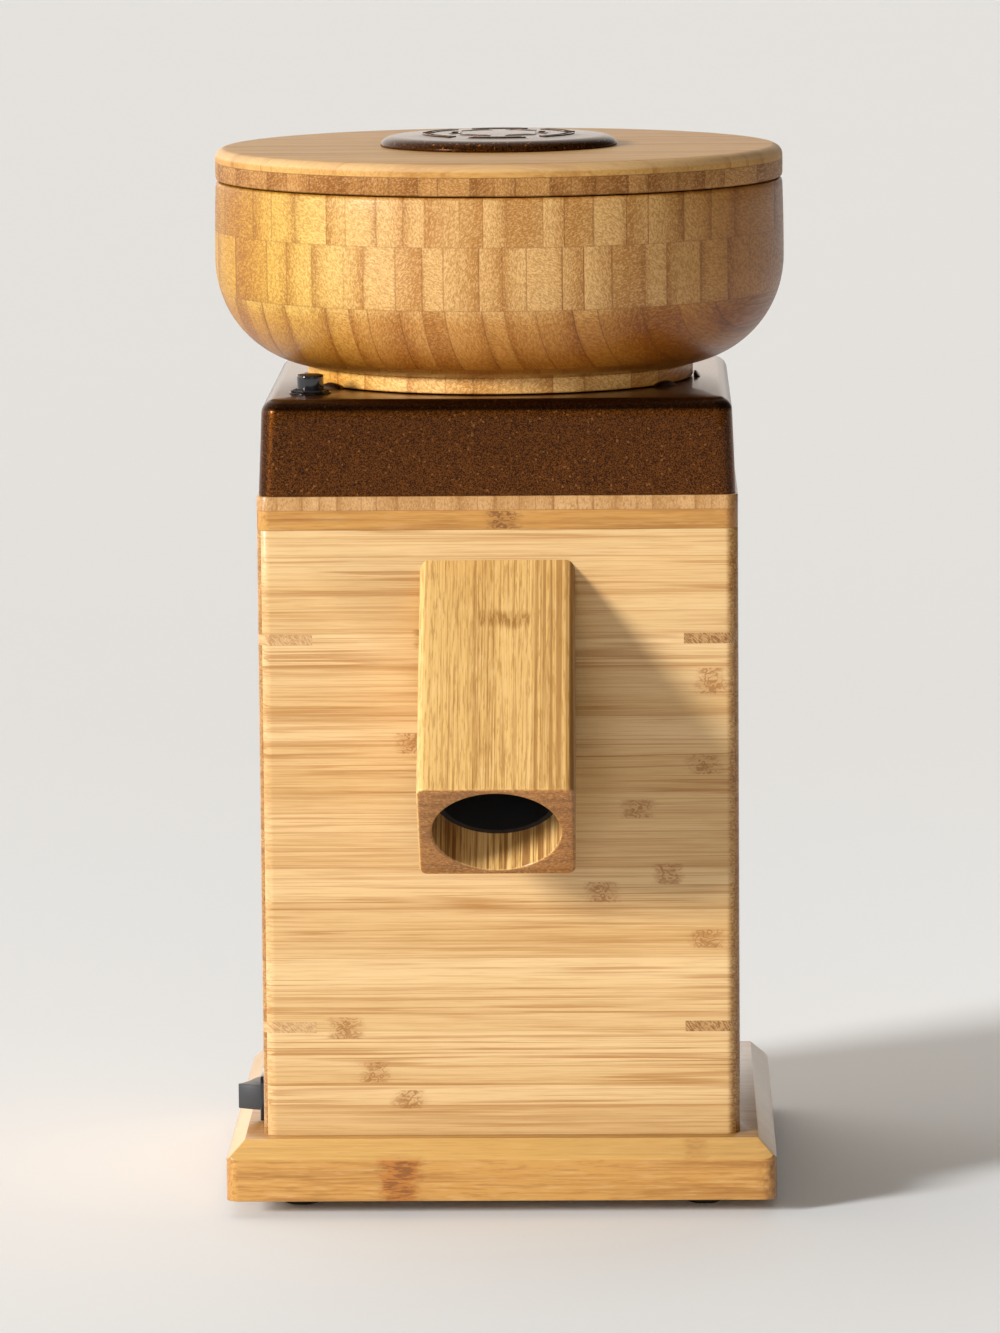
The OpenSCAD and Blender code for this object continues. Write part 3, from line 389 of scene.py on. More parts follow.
def wood_spout(name):
    """Square spout: fibres run along its 45 degree axis, so the outlet face shows end grain."""
    mat, t = material(name)
    x, y, z = t.xyz(t.coords())
    g = t.mul(t.add(y, z), SQ)
    l = t.mul(t.sub(z, y), SQ)
    col, h, f = bamboo(t, g, t.add(x, 0.0075), l, YELLOW, W=0.0202, seed=2.2, wave=0.0, knots=0.0, streaks=1.25, speck=1.0, glue=1.0,
                       tone=0.45, grade=0.30, broad=0.6, dash=120.0, dot=0.70, vein=0.35)
    # The strip at the right is denser, with long straight lines
    lines = t.noise(t.vec(t.mul(g, 3.0), t.mul(x, 700.0), t.mul(l, 300.0)), 1.0, 1.0, 0.5)
    right = t.step(x, 0.0125, 0.0128)
    col = t.mix(t.mul(right, t.step(lines, 0.42, 0.60, 0.10, 0.75)), col, YELLOW["dark"])
    col = spots(t, col, g, x, [(0.0790, 0.0026, 0.0040, 0.0098)], YELLOW, 0.85, comb=True)
    # Inside the bore the strips show as brown and pale lines
    lp = t.sub(l, (SP_Z - SP_Y) * SQ * MM)
    rad = t.m("SQRT", t.add(t.mul(x, x), t.mul(lp, lp)))
    inner = t.step(rad, 0.02275, 0.02260)
    bl = t.noise(t.vec(t.mul(x, 620.0), t.mul(lp, 620.0), t.mul(g, 14.0)), 1.0, 2.0, 0.6)
    col = t.mix(t.mul(inner, t.step(bl, 0.47, 0.60, 0.0, 0.80)), col, (0.20, 0.080, 0.020))
    col = t.mix(t.mul(inner, t.step(bl, 0.46, 0.34, 0.0, 0.60)), col, (0.66, 0.44, 0.22))
    # Cut across the fibres the wood is brown, with pale and dark pores
    nrm = t.new("ShaderNodeNewGeometry").outputs["True Normal"]
    nx, ny, nz = t.xyz(nrm)
    end = t.step(t.m("ABSOLUTE", t.mul(t.add(ny, nz), SQ)), 0.55, 0.92)
    pores = t.noise(t.vec(t.mul(x, 760.0), t.mul(lp, 1150.0), t.mul(g, 200.0)), 1.0, 2.0, 0.6)
    layer = t.noise(t.vec(t.mul(x, 35.0), t.mul(lp, 330.0), 2.0), 1.0, 1.0, 0.5)
    brown = t.mix(t.step(layer, 0.38, 0.62), (0.34, 0.128, 0.025), (0.225, 0.076, 0.013))
    brown = t.mix(t.step(pores, 0.52, 0.64, 0.0, 0.75), brown, (0.13, 0.045, 0.010))
    brown = t.mix(t.step(pores, 0.45, 0.34, 0.0, 0.60), brown, (0.52, 0.27, 0.085))
    col = t.mix(t.mul(end, 0.90), col, brown)
    # Painted shade: faces turned to +X, away from the key light, are darkened
    edge = t.step(nx, 0.10, 0.75)
    col = t.mix(t.mul(edge, 0.75), col, t.mix(1.0, col, (0.50, 0.38, 0.26), "MULTIPLY"))
    wood_finish(t, col, h, f, rough=0.33, coat=0.30, coat_rough=0.14)
    return mat


def wood_base(name):
    mat, t = material(name)
    x, y, z = t.xyz(t.coords())
    col, h, f = bamboo(t, x, y, z, HONEY, W=0.021, seed=5.1, wave=0.15, knots=0.7, streaks=0.9, speck=0.75, glue=0.8, tone=0.45, vein=0.45,
                       grade=0.25, period=0.31, broad=0.8)
    front = t.step(y, -0.0880, -0.0900)
    marked = spots(t, col, x, z, [(-0.0362, 0.0125, 0.0085, 0.0100), (0.0695, 0.0235, 0.0050, 0.0034)], HONEY, 0.72, comb=True, stain=0.85)
    col = t.mix(front, col, marked)
    nrm = t.new("ShaderNodeNewGeometry").outputs["True Normal"]
    nx, ny, nz = t.xyz(nrm)
    end = t.step(t.m("ABSOLUTE", nx), 0.35, 0.9)
    col = t.mix(t.mul(end, 0.30), col, HONEY["dark"])
    # Painted light: the upward-facing chamfer is lightened toward pale yellow
    slope = t.mul(t.step(nz, 0.30, 0.45), t.step(nz, 0.97, 0.90))
    col = t.mix(t.mul(slope, 0.45), col, YELLOW["light"])
    wood_finish(t, col, h, f, rough=0.33, coat=0.40, coat_rough=0.15)
    return mat


def wood_key(name):
    """Spline keys: fibres run across the corner, so both faces show slanted end grain."""
    mat, t = material(name)
    x, y, z = t.xyz(t.coords())
    pal = dict(light=(0.49, 0.29, 0.115), mid=(0.34, 0.17, 0.055), dark=(0.15, 0.057, 0.012))
    pale = dict(light=(0.58, 0.385, 0.190), mid=(0.49, 0.295, 0.130), dark=(0.36, 0.190, 0.068))
    # Painted light and shade: keys on the left (-X), toward the key light, take the paler palette, those on the right
    # the darker one
    left_lit_side = t.step(x, 0.01, -0.01)
    s = t.add(x, y)
    n = t.noise(t.vec(t.mul(t.add(s, z), 1500.0), t.mul(t.sub(s, z), 420.0), t.mul(t.sub(x, y), 60.0)), 1.0, 2.0, 0.65)
    c = t.noise(t.vec(t.mul(x, 120.0), t.mul(y, 120.0), t.mul(z, 300.0)), 1.0, 1.0, 0.5)
    col = t.mix(c, t.mix(left_lit_side, pal["light"], pale["light"]), t.mix(left_lit_side, pal["mid"], pale["mid"]))
    col = t.mix(t.mul(t.step(n, 0.44, 0.58), 0.8), col, t.mix(left_lit_side, pal["dark"], pale["dark"]))
    wood_finish(t, col, n, n)
    return mat


# ------------------------------------------------------------------ other materials
def bronze(name, deep=(0.032, 0.0085, 0.0007), flake=(0.215, 0.066, 0.0080), amount=1.0, coat=0.20, coat_rough=0.03, metal=0.86, rough=0.31, edge=0.75, spec=0.15):
    """Brown moulding compound with fine metal flake under a clear gloss coat."""
    mat, t = material(name)
    p = t.coords()
    d, c = t.voronoi(p, 3400.0)
    cx, cy, cz = t.xyz(c)
    d2, c2 = t.voronoi(p, 1500.0)
    ex, ey, ez = t.xyz(c2)
    cloud = t.noise(p, 55.0, 3.0, 0.6)
    col = t.mix(t.m("MULTIPLY", t.step(cx, 0.10, 1.0), amount), deep, flake)
    spark = t.step(ex, 0.965, 0.998)
    col = t.mix(t.mul(spark, 0.45 * amount), col, (0.52, 0.21, 0.055))
    col = t.mix(t.mul(t.sub(cloud, 0.40), 0.35), col, deep)
    nx, ny, nz = t.xyz(t.new("ShaderNodeNewGeometry").outputs["Normal"])
    # Painted reflection: the top and vertical roundings are darkened nearly to black, standing in for dark surroundings
    # mirrored there
    turn = t.mul(t.step(nz, 0.14, 0.34), t.step(nz, 0.995, 0.96))
    side = t.step(t.m("MINIMUM", t.m("ABSOLUTE", nx), t.m("ABSOLUTE", ny)), 0.42, 0.66)
    side = t.mul(side, t.step(t.m("ABSOLUTE", nz), 0.5, 0.2))
    col = t.mix(t.mul(t.m("MAXIMUM", turn, t.mul(side, 0.6)), edge), col, tuple(v * 0.22 for v in deep))
    surface(t, col, rough, metal, None, coat, coat_rough, spec=spec)
    return mat


def plastic(name, color, rough=0.45, coat=0.0, grain=900.0, depth=0.00003, vary=0.25, spec=0.5):
    mat, t = material(name)
    p = t.coords()
    n = t.noise(p, grain, 3.0, 0.6)
    c = t.noise(p, 35.0, 2.0, 0.5)
    dark = tuple(v * (1 - vary) for v in color)
    lite = tuple(min(1, v * (1 + vary)) for v in color)
    col = t.mix(c, dark, lite)
    r = t.add(rough - 0.05, t.mul(n, 0.10))
    surface(t, col, r, 0.0, t.bump(n, 0.35, depth), coat, 0.04, spec)
    return mat


def metal(name, color, rough=0.3, along=None, grain=260.0, vary=0.18, depth=0.00004, scale=(1, 1, 1), aniso=0.0):
    """Bare metal; along stretches the tooling marks on one axis."""
    mat, t = material(name)
    x, y, z = t.xyz(t.coords())
    s = [1.0, 1.0, 1.0]
    if along is not None:
        s = [9.0, 9.0, 9.0]
        s[along] = 0.25
    n = t.noise(t.vec(t.mul(x, grain * s[0]), t.mul(y, grain * s[1]), t.mul(z, grain * s[2])), 1.0, 3.0, 0.6)
    c = t.noise(t.vec(t.mul(x, 40.0), t.mul(y, 40.0), t.mul(z, 40.0)), 1.0, 2.0, 0.5)
    col = t.mix(t.m("MULTIPLY", n, 1.0, clamp=True), tuple(v * (1 - vary) for v in color), tuple(min(1, v * (1 + vary)) for v in color))
    col = t.mix(t.mul(t.step(c, 0.55, 0.75), 0.25), col, tuple(v * 0.7 for v in color))
    r = t.add(rough - 0.06, t.mul(n, 0.12))
    surface(t, col, r, 1.0, t.bump(n, 0.4, depth), aniso=aniso)
    return mat


def laminations(name):
    mat, t = material(name)
    x, y, z = t.xyz(t.coords())
    fr = t.m("FRACT", t.m("DIVIDE", z, 0.0010))
    edge = t.step(t.m("ABSOLUTE", t.sub(fr, 0.5)), 0.30, 0.48)
    n = t.noise(t.vec(t.mul(x, 180.0), t.mul(y, 180.0), t.mul(z, 900.0)), 1.0, 2.0, 0.6)
    col = t.mix(n, (0.22, 0.23, 0.25), (0.40, 0.41, 0.43))
    col = t.mix(t.mul(edge, 0.7), col, (0.05, 0.05, 0.055))
    surface(t, col, t.add(0.38, t.mul(n, 0.1)), 1.0, t.bump(t.sub(n, t.mul(edge, 1.5)), 0.5, 0.0002))
    return mat


def windings(name):
    mat, t = material(name)
    x, y, z = t.xyz(t.coords())
    ang = t.m("ARCTAN2", y, x)
    rad = t.m("SQRT", t.add(t.mul(x, x), t.mul(y, y)))
    band = t.m("FRACT", t.m("DIVIDE", t.add(t.add(rad, z), t.mul(t.m("SINE", t.mul(ang, 12.0)), 0.0015)), 0.0009))
    ridge = t.m("ABSOLUTE", t.sub(band, 0.5))
    n = t.noise(t.vec(t.mul(ang, 30.0), t.mul(rad, 1500.0), t.mul(z, 1500.0)), 1.0, 2.0, 0.6)
    col = t.mix(n, (0.42, 0.12, 0.035), (0.66, 0.26, 0.09))
    col = t.mix(t.mul(t.step(ridge, 0.36, 0.5), 0.7), col, (0.10, 0.03, 0.01))
    surface(t, col, 0.30, 0.9, t.bump(t.sub(n, t.mul(ridge, 2.0)), 0.6, 0.0003), 0.5, 0.2)
    return mat


def grinding_stone(name):
    mat, t = material(name)
    p = t.coords()
    d, c = t.voronoi(p, 1500.0)
    cx, cy, cz = t.xyz(c)
    n = t.noise(p, 420.0, 4.0, 0.7)
    pit = t.noise(p, 900.0, 2.0, 0.6)
    col = t.mix(cx, (0.62, 0.57, 0.49), (0.80, 0.77, 0.71))
    col = t.mix(t.step(cy, 0.86, 0.95), col, (0.30, 0.22, 0.17))
    col = t.mix(t.mul(t.step(pit, 0.6, 0.75), 0.6), col, (0.33, 0.29, 0.24))
    surface(t, col, 0.85, 0.0, t.bump(t.sub(n, t.mul(pit, 0.8)), 0.8, 0.0005))
    return mat


def rubber(name):
    mat, t = material(name)
    p = t.coords()
    n = t.noise(p, 1400.0, 3.0, 0.6)
    c = t.noise(p, 90.0, 2.0, 0.5)
    col = t.mix(c, (0.010, 0.010, 0.010), (0.026, 0.025, 0.024))
    surface(t, col, t.add(0.60, t.mul(n, 0.15)), 0.0, t.bump(n, 0.5, 0.00006))
    return mat


# ------------------------------------------------------------------ mesh helpers
def finish_mesh(bm, name, angle=38.0, merge=True):
    if merge:
        bmesh.ops.remove_doubles(bm, verts=bm.verts, dist=1e-7)
    bmesh.ops.recalc_face_normals(bm, faces=bm.faces)
    lim = math.radians(angle)
    for f in bm.faces:
        f.smooth = True
    for e in bm.edges:
        e.smooth = not (len(e.link_faces) == 2 and e.calc_face_angle(0.0) > lim)
    me = bpy.data.meshes.new(name)
    bm.to_mesh(me)
    bm.free()
    return me


def piece(name, bm, mat, body="case", replaces=(), angle=38.0, merge=True):
    me = finish_mesh(bm, name, angle, merge)
    ob = bpy.data.objects.new(name, me)
    COLL.objects.link(ob)
    me.materials.append(mat)
    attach(ob, body)
    if replaces:
        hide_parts(*replaces)
    return ob


def lathe(profile, seg=192, z0=0.0):
    """Closed profile of (r, z) in mm, turned about Z."""
    bm = bmesh.new()
    rings = []
    for r, z in profile:
        if r < 1e-6:
            rings.append([bm.verts.new((0, 0, z * MM))])
        else:
            rings.append([bm.verts.new((r * MM * math.cos(2 * math.pi * k / seg), r * MM * math.sin(2 * math.pi * k / seg), z * MM)) for k in range(seg)])
    for a, b in zip(rings, rings[1:] + rings[:1]):
        if len(a) == 1 and len(b) == 1:
            continue
        for k in range(seg):
            q = (k + 1) % seg
            if len(a) == 1:
                bm.faces.new((a[0], b[k], b[q]))
            elif len(b) == 1:
                bm.faces.new((a[k], b[0], a[q]))
            else:
                bm.faces.new((a[k], b[k], b[q], a[q]))
    return bm


def fillet(points, radii, n=5):
    """Rounds the corners of a closed polyline of 2-D points."""
    out = []
    N = len(points)
    for k in range(N):
        p, r = Vector(points[k]), radii.get(k, 0.0) if isinstance(radii, dict) else radii
        a, b = Vector(points[k - 1]) - p, Vector(points[(k + 1) % N]) - p
        if r <= 0 or a.length < 1e-9 or b.length < 1e-9:
            out.append((p.x, p.y))
            continue
        ang = a.angle(b)
        if ang > math.radians(176):
            out.append((p.x, p.y))
            continue
        cut = min(r / math.tan(ang / 2), a.length * 0.48, b.length * 0.48)
        rr_ = cut * math.tan(ang / 2)
        s, e = p + a.normalized() * cut, p + b.normalized() * cut
        bis = (a.normalized() + b.normalized()).normalized()
        c = p + bis * (rr_ / math.sin(ang / 2))
        v0, v1 = s - c, e - c
        tot = v0.angle_signed(v1)
        for i in range(n + 1):
            th = -tot * i / n
            q = Vector((v0.x * math.cos(th) - v0.y * math.sin(th), v0.x * math.sin(th) + v0.y * math.cos(th)))
            out.append((c.x + q.x, c.y + q.y))
    return out


def arc(cx, cy, rx, ry, a0, a1, n):
    return [(cx + rx * math.cos(math.radians(a0 + (a1 - a0) * i / n)), cy + ry * math.sin(math.radians(a0 + (a1 - a0) * i / n))) for i in range(n + 1)]


def rr(w, d, r, n=8):
    """Rectangle with round corners, counter-clockwise."""
    out = []
    for q, (sx, sy) in enumerate(((1, 1), (-1, 1), (-1, -1), (1, -1))):
        for i in range(n + 1):
            a = math.radians(q * 90 + 90 * i / n)
            out.append((sx * (w / 2 - r) + r * math.cos(a), sy * (d / 2 - r) + r * math.sin(a)))
    return out


def ray_angles(w, d, r, n=8, step=3.0):
    """Angles for a loop that keeps round corners and is even elsewhere."""
    got = [math.degrees(math.atan2(y, x)) % 360 for x, y in rr(w, d, r, n)]
    got += [k * step + 0.37 for k in range(int(360 / step))]
    out = []
    for a in sorted(got):
        if not out or a - out[-1] > 0.12:
            out.append(a)
    return out


def rr_at(w, d, r, angs):
    """The round-cornered rectangle met by rays at the given angles."""
    out = []
    for a in angs:
        c, s = math.cos(math.radians(a)), math.sin(math.radians(a))
        k = min(w / 2 / max(abs(c), 1e-9), d / 2 / max(abs(s), 1e-9))
        x, y = abs(c) * k, abs(s) * k
        cx, cy = w / 2 - r, d / 2 - r
        if x > cx and y > cy:
            dx, dy = abs(c), abs(s)
            b = dx * cx + dy * cy
            k = b + math.sqrt(max(b * b - (cx * cx + cy * cy - r * r), 0.0))
        out.append((c * k, s * k))
    return out


def loft(loops, cap_start=True, cap_end=True, cyclic=False):
    """Skins closed loops of 3-D points in mm, all of one length."""
    bm = bmesh.new()
    vs = [[bm.verts.new(Vector(p) * MM) for p in lp] for lp in loops]
    n = len(loops[0])
    pairs = list(zip(vs, vs[1:])) + ([(vs[-1], vs[0])] if cyclic else [])
    for a, b in pairs:
        for k in range(n):
            q = (k + 1) % n
            bm.faces.new((a[k], a[q], b[q], b[k]))
    if not cyclic:
        if cap_start:
            bm.faces.new(list(reversed(vs[0])))
        if cap_end:
            bm.faces.new(vs[-1])
    return bm


def prism(outline, z0, z1):
    return loft([[(x, y, z0) for x, y in outline], [(x, y, z1) for x, y in outline]])


def box_bm(lo, hi):
    return prism([(lo[0], lo[1]), (hi[0], lo[1]), (hi[0], hi[1]), (lo[0], hi[1])], lo[2], hi[2])


def place(bm, matrix):
    bmesh.ops.transform(bm, matrix=matrix, verts=bm.verts)
    return bm


def joined(*bms):
    out = bmesh.new()
    for b in bms:
        me = bpy.data.meshes.new("tmp")
        b.to_mesh(me)
        b.free()
        out.from_mesh(me)
        bpy.data.meshes.remove(me)
    return out


def edited(bm, *mods):
    """Runs modifiers on a mesh: ("BOOLEAN", op, cutter bmesh) or ("BEVEL", width mm, segments, angle)."""
    me = bpy.data.meshes.new("work")
    bmesh.ops.recalc_face_normals(bm, faces=bm.faces)
    bm.to_mesh(me)
    bm.free()
    ob = bpy.data.objects.new("work", me)
    COLL.objects.link(ob)
    extra = []
    for m in mods:
        if m[0] == "BOOLEAN":
            cm = bpy.data.meshes.new("cut")
            bmesh.ops.recalc_face_normals(m[2], faces=m[2].faces)
            m[2].to_mesh(cm)
            m[2].free()
            co = bpy.data.objects.new("cut", cm)
            COLL.objects.link(co)
            extra.append(co)
            md = ob.modifiers.new("b", "BOOLEAN")
            md.operation, md.object, md.solver = m[1], co, "EXACT"
        else:
            md = ob.modifiers.new("v", "BEVEL")
            md.width, md.segments, md.limit_method = m[1] * MM, m[2], "ANGLE"
            md.angle_limit = math.radians(m[3] if len(m) > 3 else 30)
            md.use_clamp_overlap = True
            md.miter_outer = "MITER_ARC"
            md.harden_normals = False
    bpy.context.view_layer.update()
    done = bpy.data.meshes.new_from_object(ob.evaluated_get(bpy.context.evaluated_depsgraph_get()))
    out = bmesh.new()
    out.from_mesh(done)
    for o in [ob] + extra:
        d = o.data
        bpy.data.objects.remove(o)
        bpy.data.meshes.remove(d)
    bpy.data.meshes.remove(done)
    return out


def cyl(r, z0, z1, seg=64, x=0.0, y=0.0):
    pts = [(x + r * math.cos(2 * math.pi * k / seg), y + r * math.sin(2 * math.pi * k / seg)) for k in range(seg)]
    return prism(pts, z0, z1)


def rot_z(deg):
    return Matrix.Rotation(math.radians(deg), 4, "Z")


# ------------------------------------------------------------------ sizes in mm, as in the CAD
HALF, INNER = 85.5, 70.5
Z_BASE, Z_PANEL, Z_BOARD, Z_CAP, Z_CAPTOP = 5.5, 27.0, 245.5, 257.5, 291.7
Z_NECK = Z_CAPTOP + 0.4
Z_RIM = Z_NECK + 72.2
Z_LID = Z_RIM + 0.4
Z_LIDTOP = Z_LID + 11.6
Z_TOP = Z_LIDTOP + 4.7
Z_FLANGE, Z_CARRIER = 262.0, 283.6
SP_Y = -HALF - 71.5 + 50.5 * SQ / 2
SP_Z = Z_BOARD - 10.9 - 71.5 - 50.5 * SQ / 2
SPOUT = Matrix.Translation(Vector((0, SP_Y, SP_Z)) * MM) @ Matrix.Rotation(math.radians(-45), 4, "X")
BTN = (-67.0, -57.0)
SW_Y, SW_Z = -53.7, Z_PANEL + 9.3
KEY_Z = (Z_PANEL + 37.4, Z_PANEL + 177.4)

# ------------------------------------------------------------------ materials in use
M = {}
# The front wall's right rounding (+X) is darkened more than its left: painted shade on the side away from the key light
M["front"] = wood_panel("bamboo_front_wall", 0, PALE, 0.0090, 1.0, end_grain_and_shade=(0.15, 1.0), places=[
    (-0.0265, 0.2065, 0.0035, 0.0036), (-0.0315, 0.1690, 0.0050, 0.0040), (0.0755, 0.1910, 0.0055, 0.0050), (0.0735, 0.1610, 0.0060, 0.0038),
    (0.0490, 0.1450, 0.0060, 0.0036), (0.0600, 0.1215, 0.0050, 0.0040), (0.0365, 0.1150, 0.0060, 0.0040), (-0.0560, 0.0660, 0.0060, 0.0042),
    (-0.0450, 0.0500, 0.0050, 0.0040), (-0.0330, 0.0400, 0.0060, 0.0036), (0.0740, 0.0980, 0.0060, 0.0036)],
    knots=0.0, streaks=0.75, speck=0.35, glue=0.9, tone=0.75, grade=0.25, dash=70.0, band=0.6, vein=0.85)
M["back"] = wood_panel("bamboo_back_wall", 0, PALE, 0.0090, 8.0, knots=0.75, speck=0.5, tone=0.8, band=0.7, vein=0.7)
M["left"] = wood_panel("bamboo_left_wall", 1, WALL, 0.0092, 3.3, knots=0.75, speck=0.6, tone=1.2, band=0.7, vein=0.7)
M["right"] = wood_panel("bamboo_right_wall", 1, WALL, 0.0092, 6.1, knots=0.75, speck=0.6, tone=1.0, band=0.7, vein=0.7)
# The top board's +X side is darkened as painted shade by its corner factor
M["board"] = wood_two_ply("bamboo_top_board", 0.2525,
                          (1, dict(W=0.0070, seed=2.0, wave=0.14, knots=0.0, tone=1.2, speck=0.9, grade=0.8, dash=30.0)),
                          (0, dict(W=0.012, seed=9.0, knots=0.0, tone=0.3, speck=0.5, streaks=1.0, vein=0.4)), BOARD, HONEY,
                          places=[(0.0025, 0.2490, 0.0060, 0.0034)], corner=0.8)
M["base"] = wood_base("bamboo_base_plate")
M["key"] = wood_key("bamboo_spline_keys")
M["spout"] = wood_spout("bamboo_spout")
M["bowl"] = wood_bowl("bamboo_bowl_blocks")
# The lid's rounded top edge is lightened as a painted highlight
M["lid"] = wood_two_ply("bamboo_lid_plies", 0.3714,
                        (0, dict(W=0.0125, seed=3.0, wave=0.18, knots=0.0, tone=0.45, speck=0.55, streaks=0.8, grade=0.3)),
                        (1, dict(W=0.0092, seed=6.0, wave=0.16, knots=0.0, tone=1.3, speck=0.8, streaks=0.4, grade=0.7, hatch=2.6, band=0.3, dash=30.0, dot=1.15, dense=0.8)),
                        LID, RIM, painted_rim_sheen=0.30, rough=0.48, coat=0.04, coat_rough=0.25, spec=0.12)
M["bronze"] = bronze("bronze_flake_moulding")
M["vent"] = bronze("vent_flake_moulding", deep=(0.0060, 0.0018, 0.0003), flake=(0.085, 0.026, 0.0040), amount=0.9, coat=0.03, coat_rough=0.04, metal=0.35, rough=0.24, edge=0.0, spec=0.06)
M["black"] = plastic("black_moulding", (0.012, 0.012, 0.013), 0.42)
M["charcoal"] = plastic("rocker_moulding", (0.030, 0.031, 0.034), 0.40, vary=0.15)
M["gloss"] = plastic("black_gloss_moulding", (0.008, 0.008, 0.011), 0.11, 0.7, 500.0, 0.000005)
M["nylon"] = plastic("black_nylon", (0.020, 0.020, 0.021), 0.55)
M["white"] = plastic("white_moulding", (0.72, 0.70, 0.64), 0.38, vary=0.06)
M["rubber"] = rubber("foot_rubber")
M["nickel"] = metal("black_nickel", (0.060, 0.058, 0.060), 0.18, vary=0.05, depth=0.00001)
M["zinc"] = metal("zinc_plated_steel", (0.50, 0.50, 0.46), 0.32, grain=500.0)
M["spring"] = metal("drawn_spring_wire", (0.52, 0.54, 0.57), 0.24, grain=900.0)
M["ground"] = metal("ground_steel", (0.62, 0.63, 0.65), 0.20, along=None, grain=700.0, vary=0.1)
M["cast"] = metal("cast_aluminium", (0.62, 0.63, 0.65), 0.46, grain=650.0, vary=0.12, depth=0.00012)
M["lam"] = laminations("stacked_laminations")
M["copper"] = windings("enamelled_windings")
M["stone"] = grinding_stone("bonded_corundum")
SLOT_MAT = {"zinc_steel": "zinc", "spring_steel": "spring", "ground_steel": "ground", "cast_aluminium": "cast", "lamination_steel": "lam",
            "copper_wire": "copper", "millstone": "stone", "rubber": "rubber", "black_plastic": "black", "black_gloss": "gloss",
            "black_nylon": "nylon", "carrier_nylon": "nylon", "white_plastic": "white", "nickel": "nickel", "bronze_moulding": "bronze",
            "vent_brown": "vent", "bamboo_panel": "front", "bamboo_base": "base", "bamboo_key": "key", "bamboo_spout": "spout",
            "bamboo_bowl": "bowl", "bamboo_lid": "lid"}

# ------------------------------------------------------------------ walls
N_ARC = 8


def wall_outline():
    """Plan of the mitred wall on the -Y side."""
    c = HALF - 5.0
    left = [(-c + 5.0 * math.cos(math.radians(a)), -c + 5.0 * math.sin(math.radians(a))) for a in [225 + 45 * i / N_ARC for i in range(N_ARC + 1)]]
    right = [(c + 5.0 * math.cos(math.radians(a)), -c + 5.0 * math.sin(math.radians(a))) for a in [270 + 45 * i / N_ARC for i in range(N_ARC + 1)]]
    return left + right + [(INNER, -INNER), (-INNER, -INNER)]


def key_bm(grow=0.0):
    """Four corner keys at one height; grow widens them for cutting the slots."""
    c = HALF - 5.0
    out = []
    for q in range(4):
        arcp = [(c + (5.0 + grow) * math.cos(math.radians(a)), c + (5.0 + grow) * math.sin(math.radians(a))) for a in [90 * i / (2 * N_ARC) for i in range(2 * N_ARC + 1)]]
        pts = [(HALF + grow, HALF - 19.4 - 2 * grow)] + arcp + [(HALF - 19.4 - 2 * grow, HALF + grow)]
        m = Matrix.Rotation(math.radians(90 * q), 2)
        out.append([tuple(m @ Vector(p)) for p in pts])
    return out


def wall(turn, cutters=()):
    bm = place(prism(wall_outline(), Z_PANEL, Z_BOARD), rot_z(turn))
    mods = [("BOOLEAN", "DIFFERENCE", c) for c in cutters]
    bm = edited(bm, *mods, ("BEVEL", 0.28, 2, 32))
    slots = joined(*[prism(pts, z - 0.03, z + 3.83) for z in KEY_Z for pts in key_bm(0.04)])
    return edited(bm, ("BOOLEAN", "DIFFERENCE", slots))


def stadium(w, h, n=8):
    r = h / 2
    pts = [(w / 2 - r + r * math.cos(math.radians(a)), r * math.sin(math.radians(a))) for a in [-90 + 180 * i / n for i in range(n + 1)]]
    return pts + [(-x, -y) for x, y in pts]


bore = place(cyl(22.95, -10, 220, 96), SPOUT)
piece("front_wall", wall(0, [bore]), M["front"], "case", ["front_panel"], 30)
vents = []
for i in range(7):
    s = prism(stadium(76, 4.0), -12, 12)
    vents.append(place(s, Matrix.Translation(Vector((0, HALF - 7, Z_PANEL + 70 + i * 11)) * MM) @ Matrix.Rotation(math.radians(90), 4, "X")))
gl = place(joined(cyl(6.15, -20, 5, 40)), Matrix.Translation(Vector((-52, HALF, Z_PANEL + 21)) * MM) @ Matrix.Rotation(math.radians(-90), 4, "X"))
gp = place(cyl(10.5, -20, -8, 48), Matrix.Translation(Vector((-52, HALF, Z_PANEL + 21)) * MM) @ Matrix.Rotation(math.radians(-90), 4, "X"))
piece("back_wall", wall(180, [joined(*vents), gl, gp]), M["back"], "case", ["back_panel"], 30)
sw_cut = box_bm((-HALF - 1, SW_Y - 9.6, SW_Z - 6.6), (-HALF + 16, SW_Y + 9.6, SW_Z + 6.6))
sw_pkt = box_bm((-HALF + 3, SW_Y - 13, SW_Z - 9.1), (-HALF + 18, SW_Y + 13, SW_Z + 10.9))
piece("left_wall", wall(-90, [sw_cut, sw_pkt]), M["left"], "case", ["left_panel"], 30)
piece("right_wall", wall(90), M["right"], "case", ["right_panel"], 30)
keys = joined(*[prism(pts, z, z + 3.8) for z in KEY_Z for pts in key_bm(0.0)])
piece("corner_keys", keys, M["key"], "case", ["spline_keys"], 30)

# ------------------------------------------------------------------ top board and base
board = edited(prism(rr(171, 171, 5, 12), Z_BOARD, Z_CAP), ("BOOLEAN", "DIFFERENCE", cyl(50.3, 240, 262, 96)), ("BEVEL", 0.35, 2, 32))
piece("closing_board", board, M["board"], "case", ["top_board"], 30)


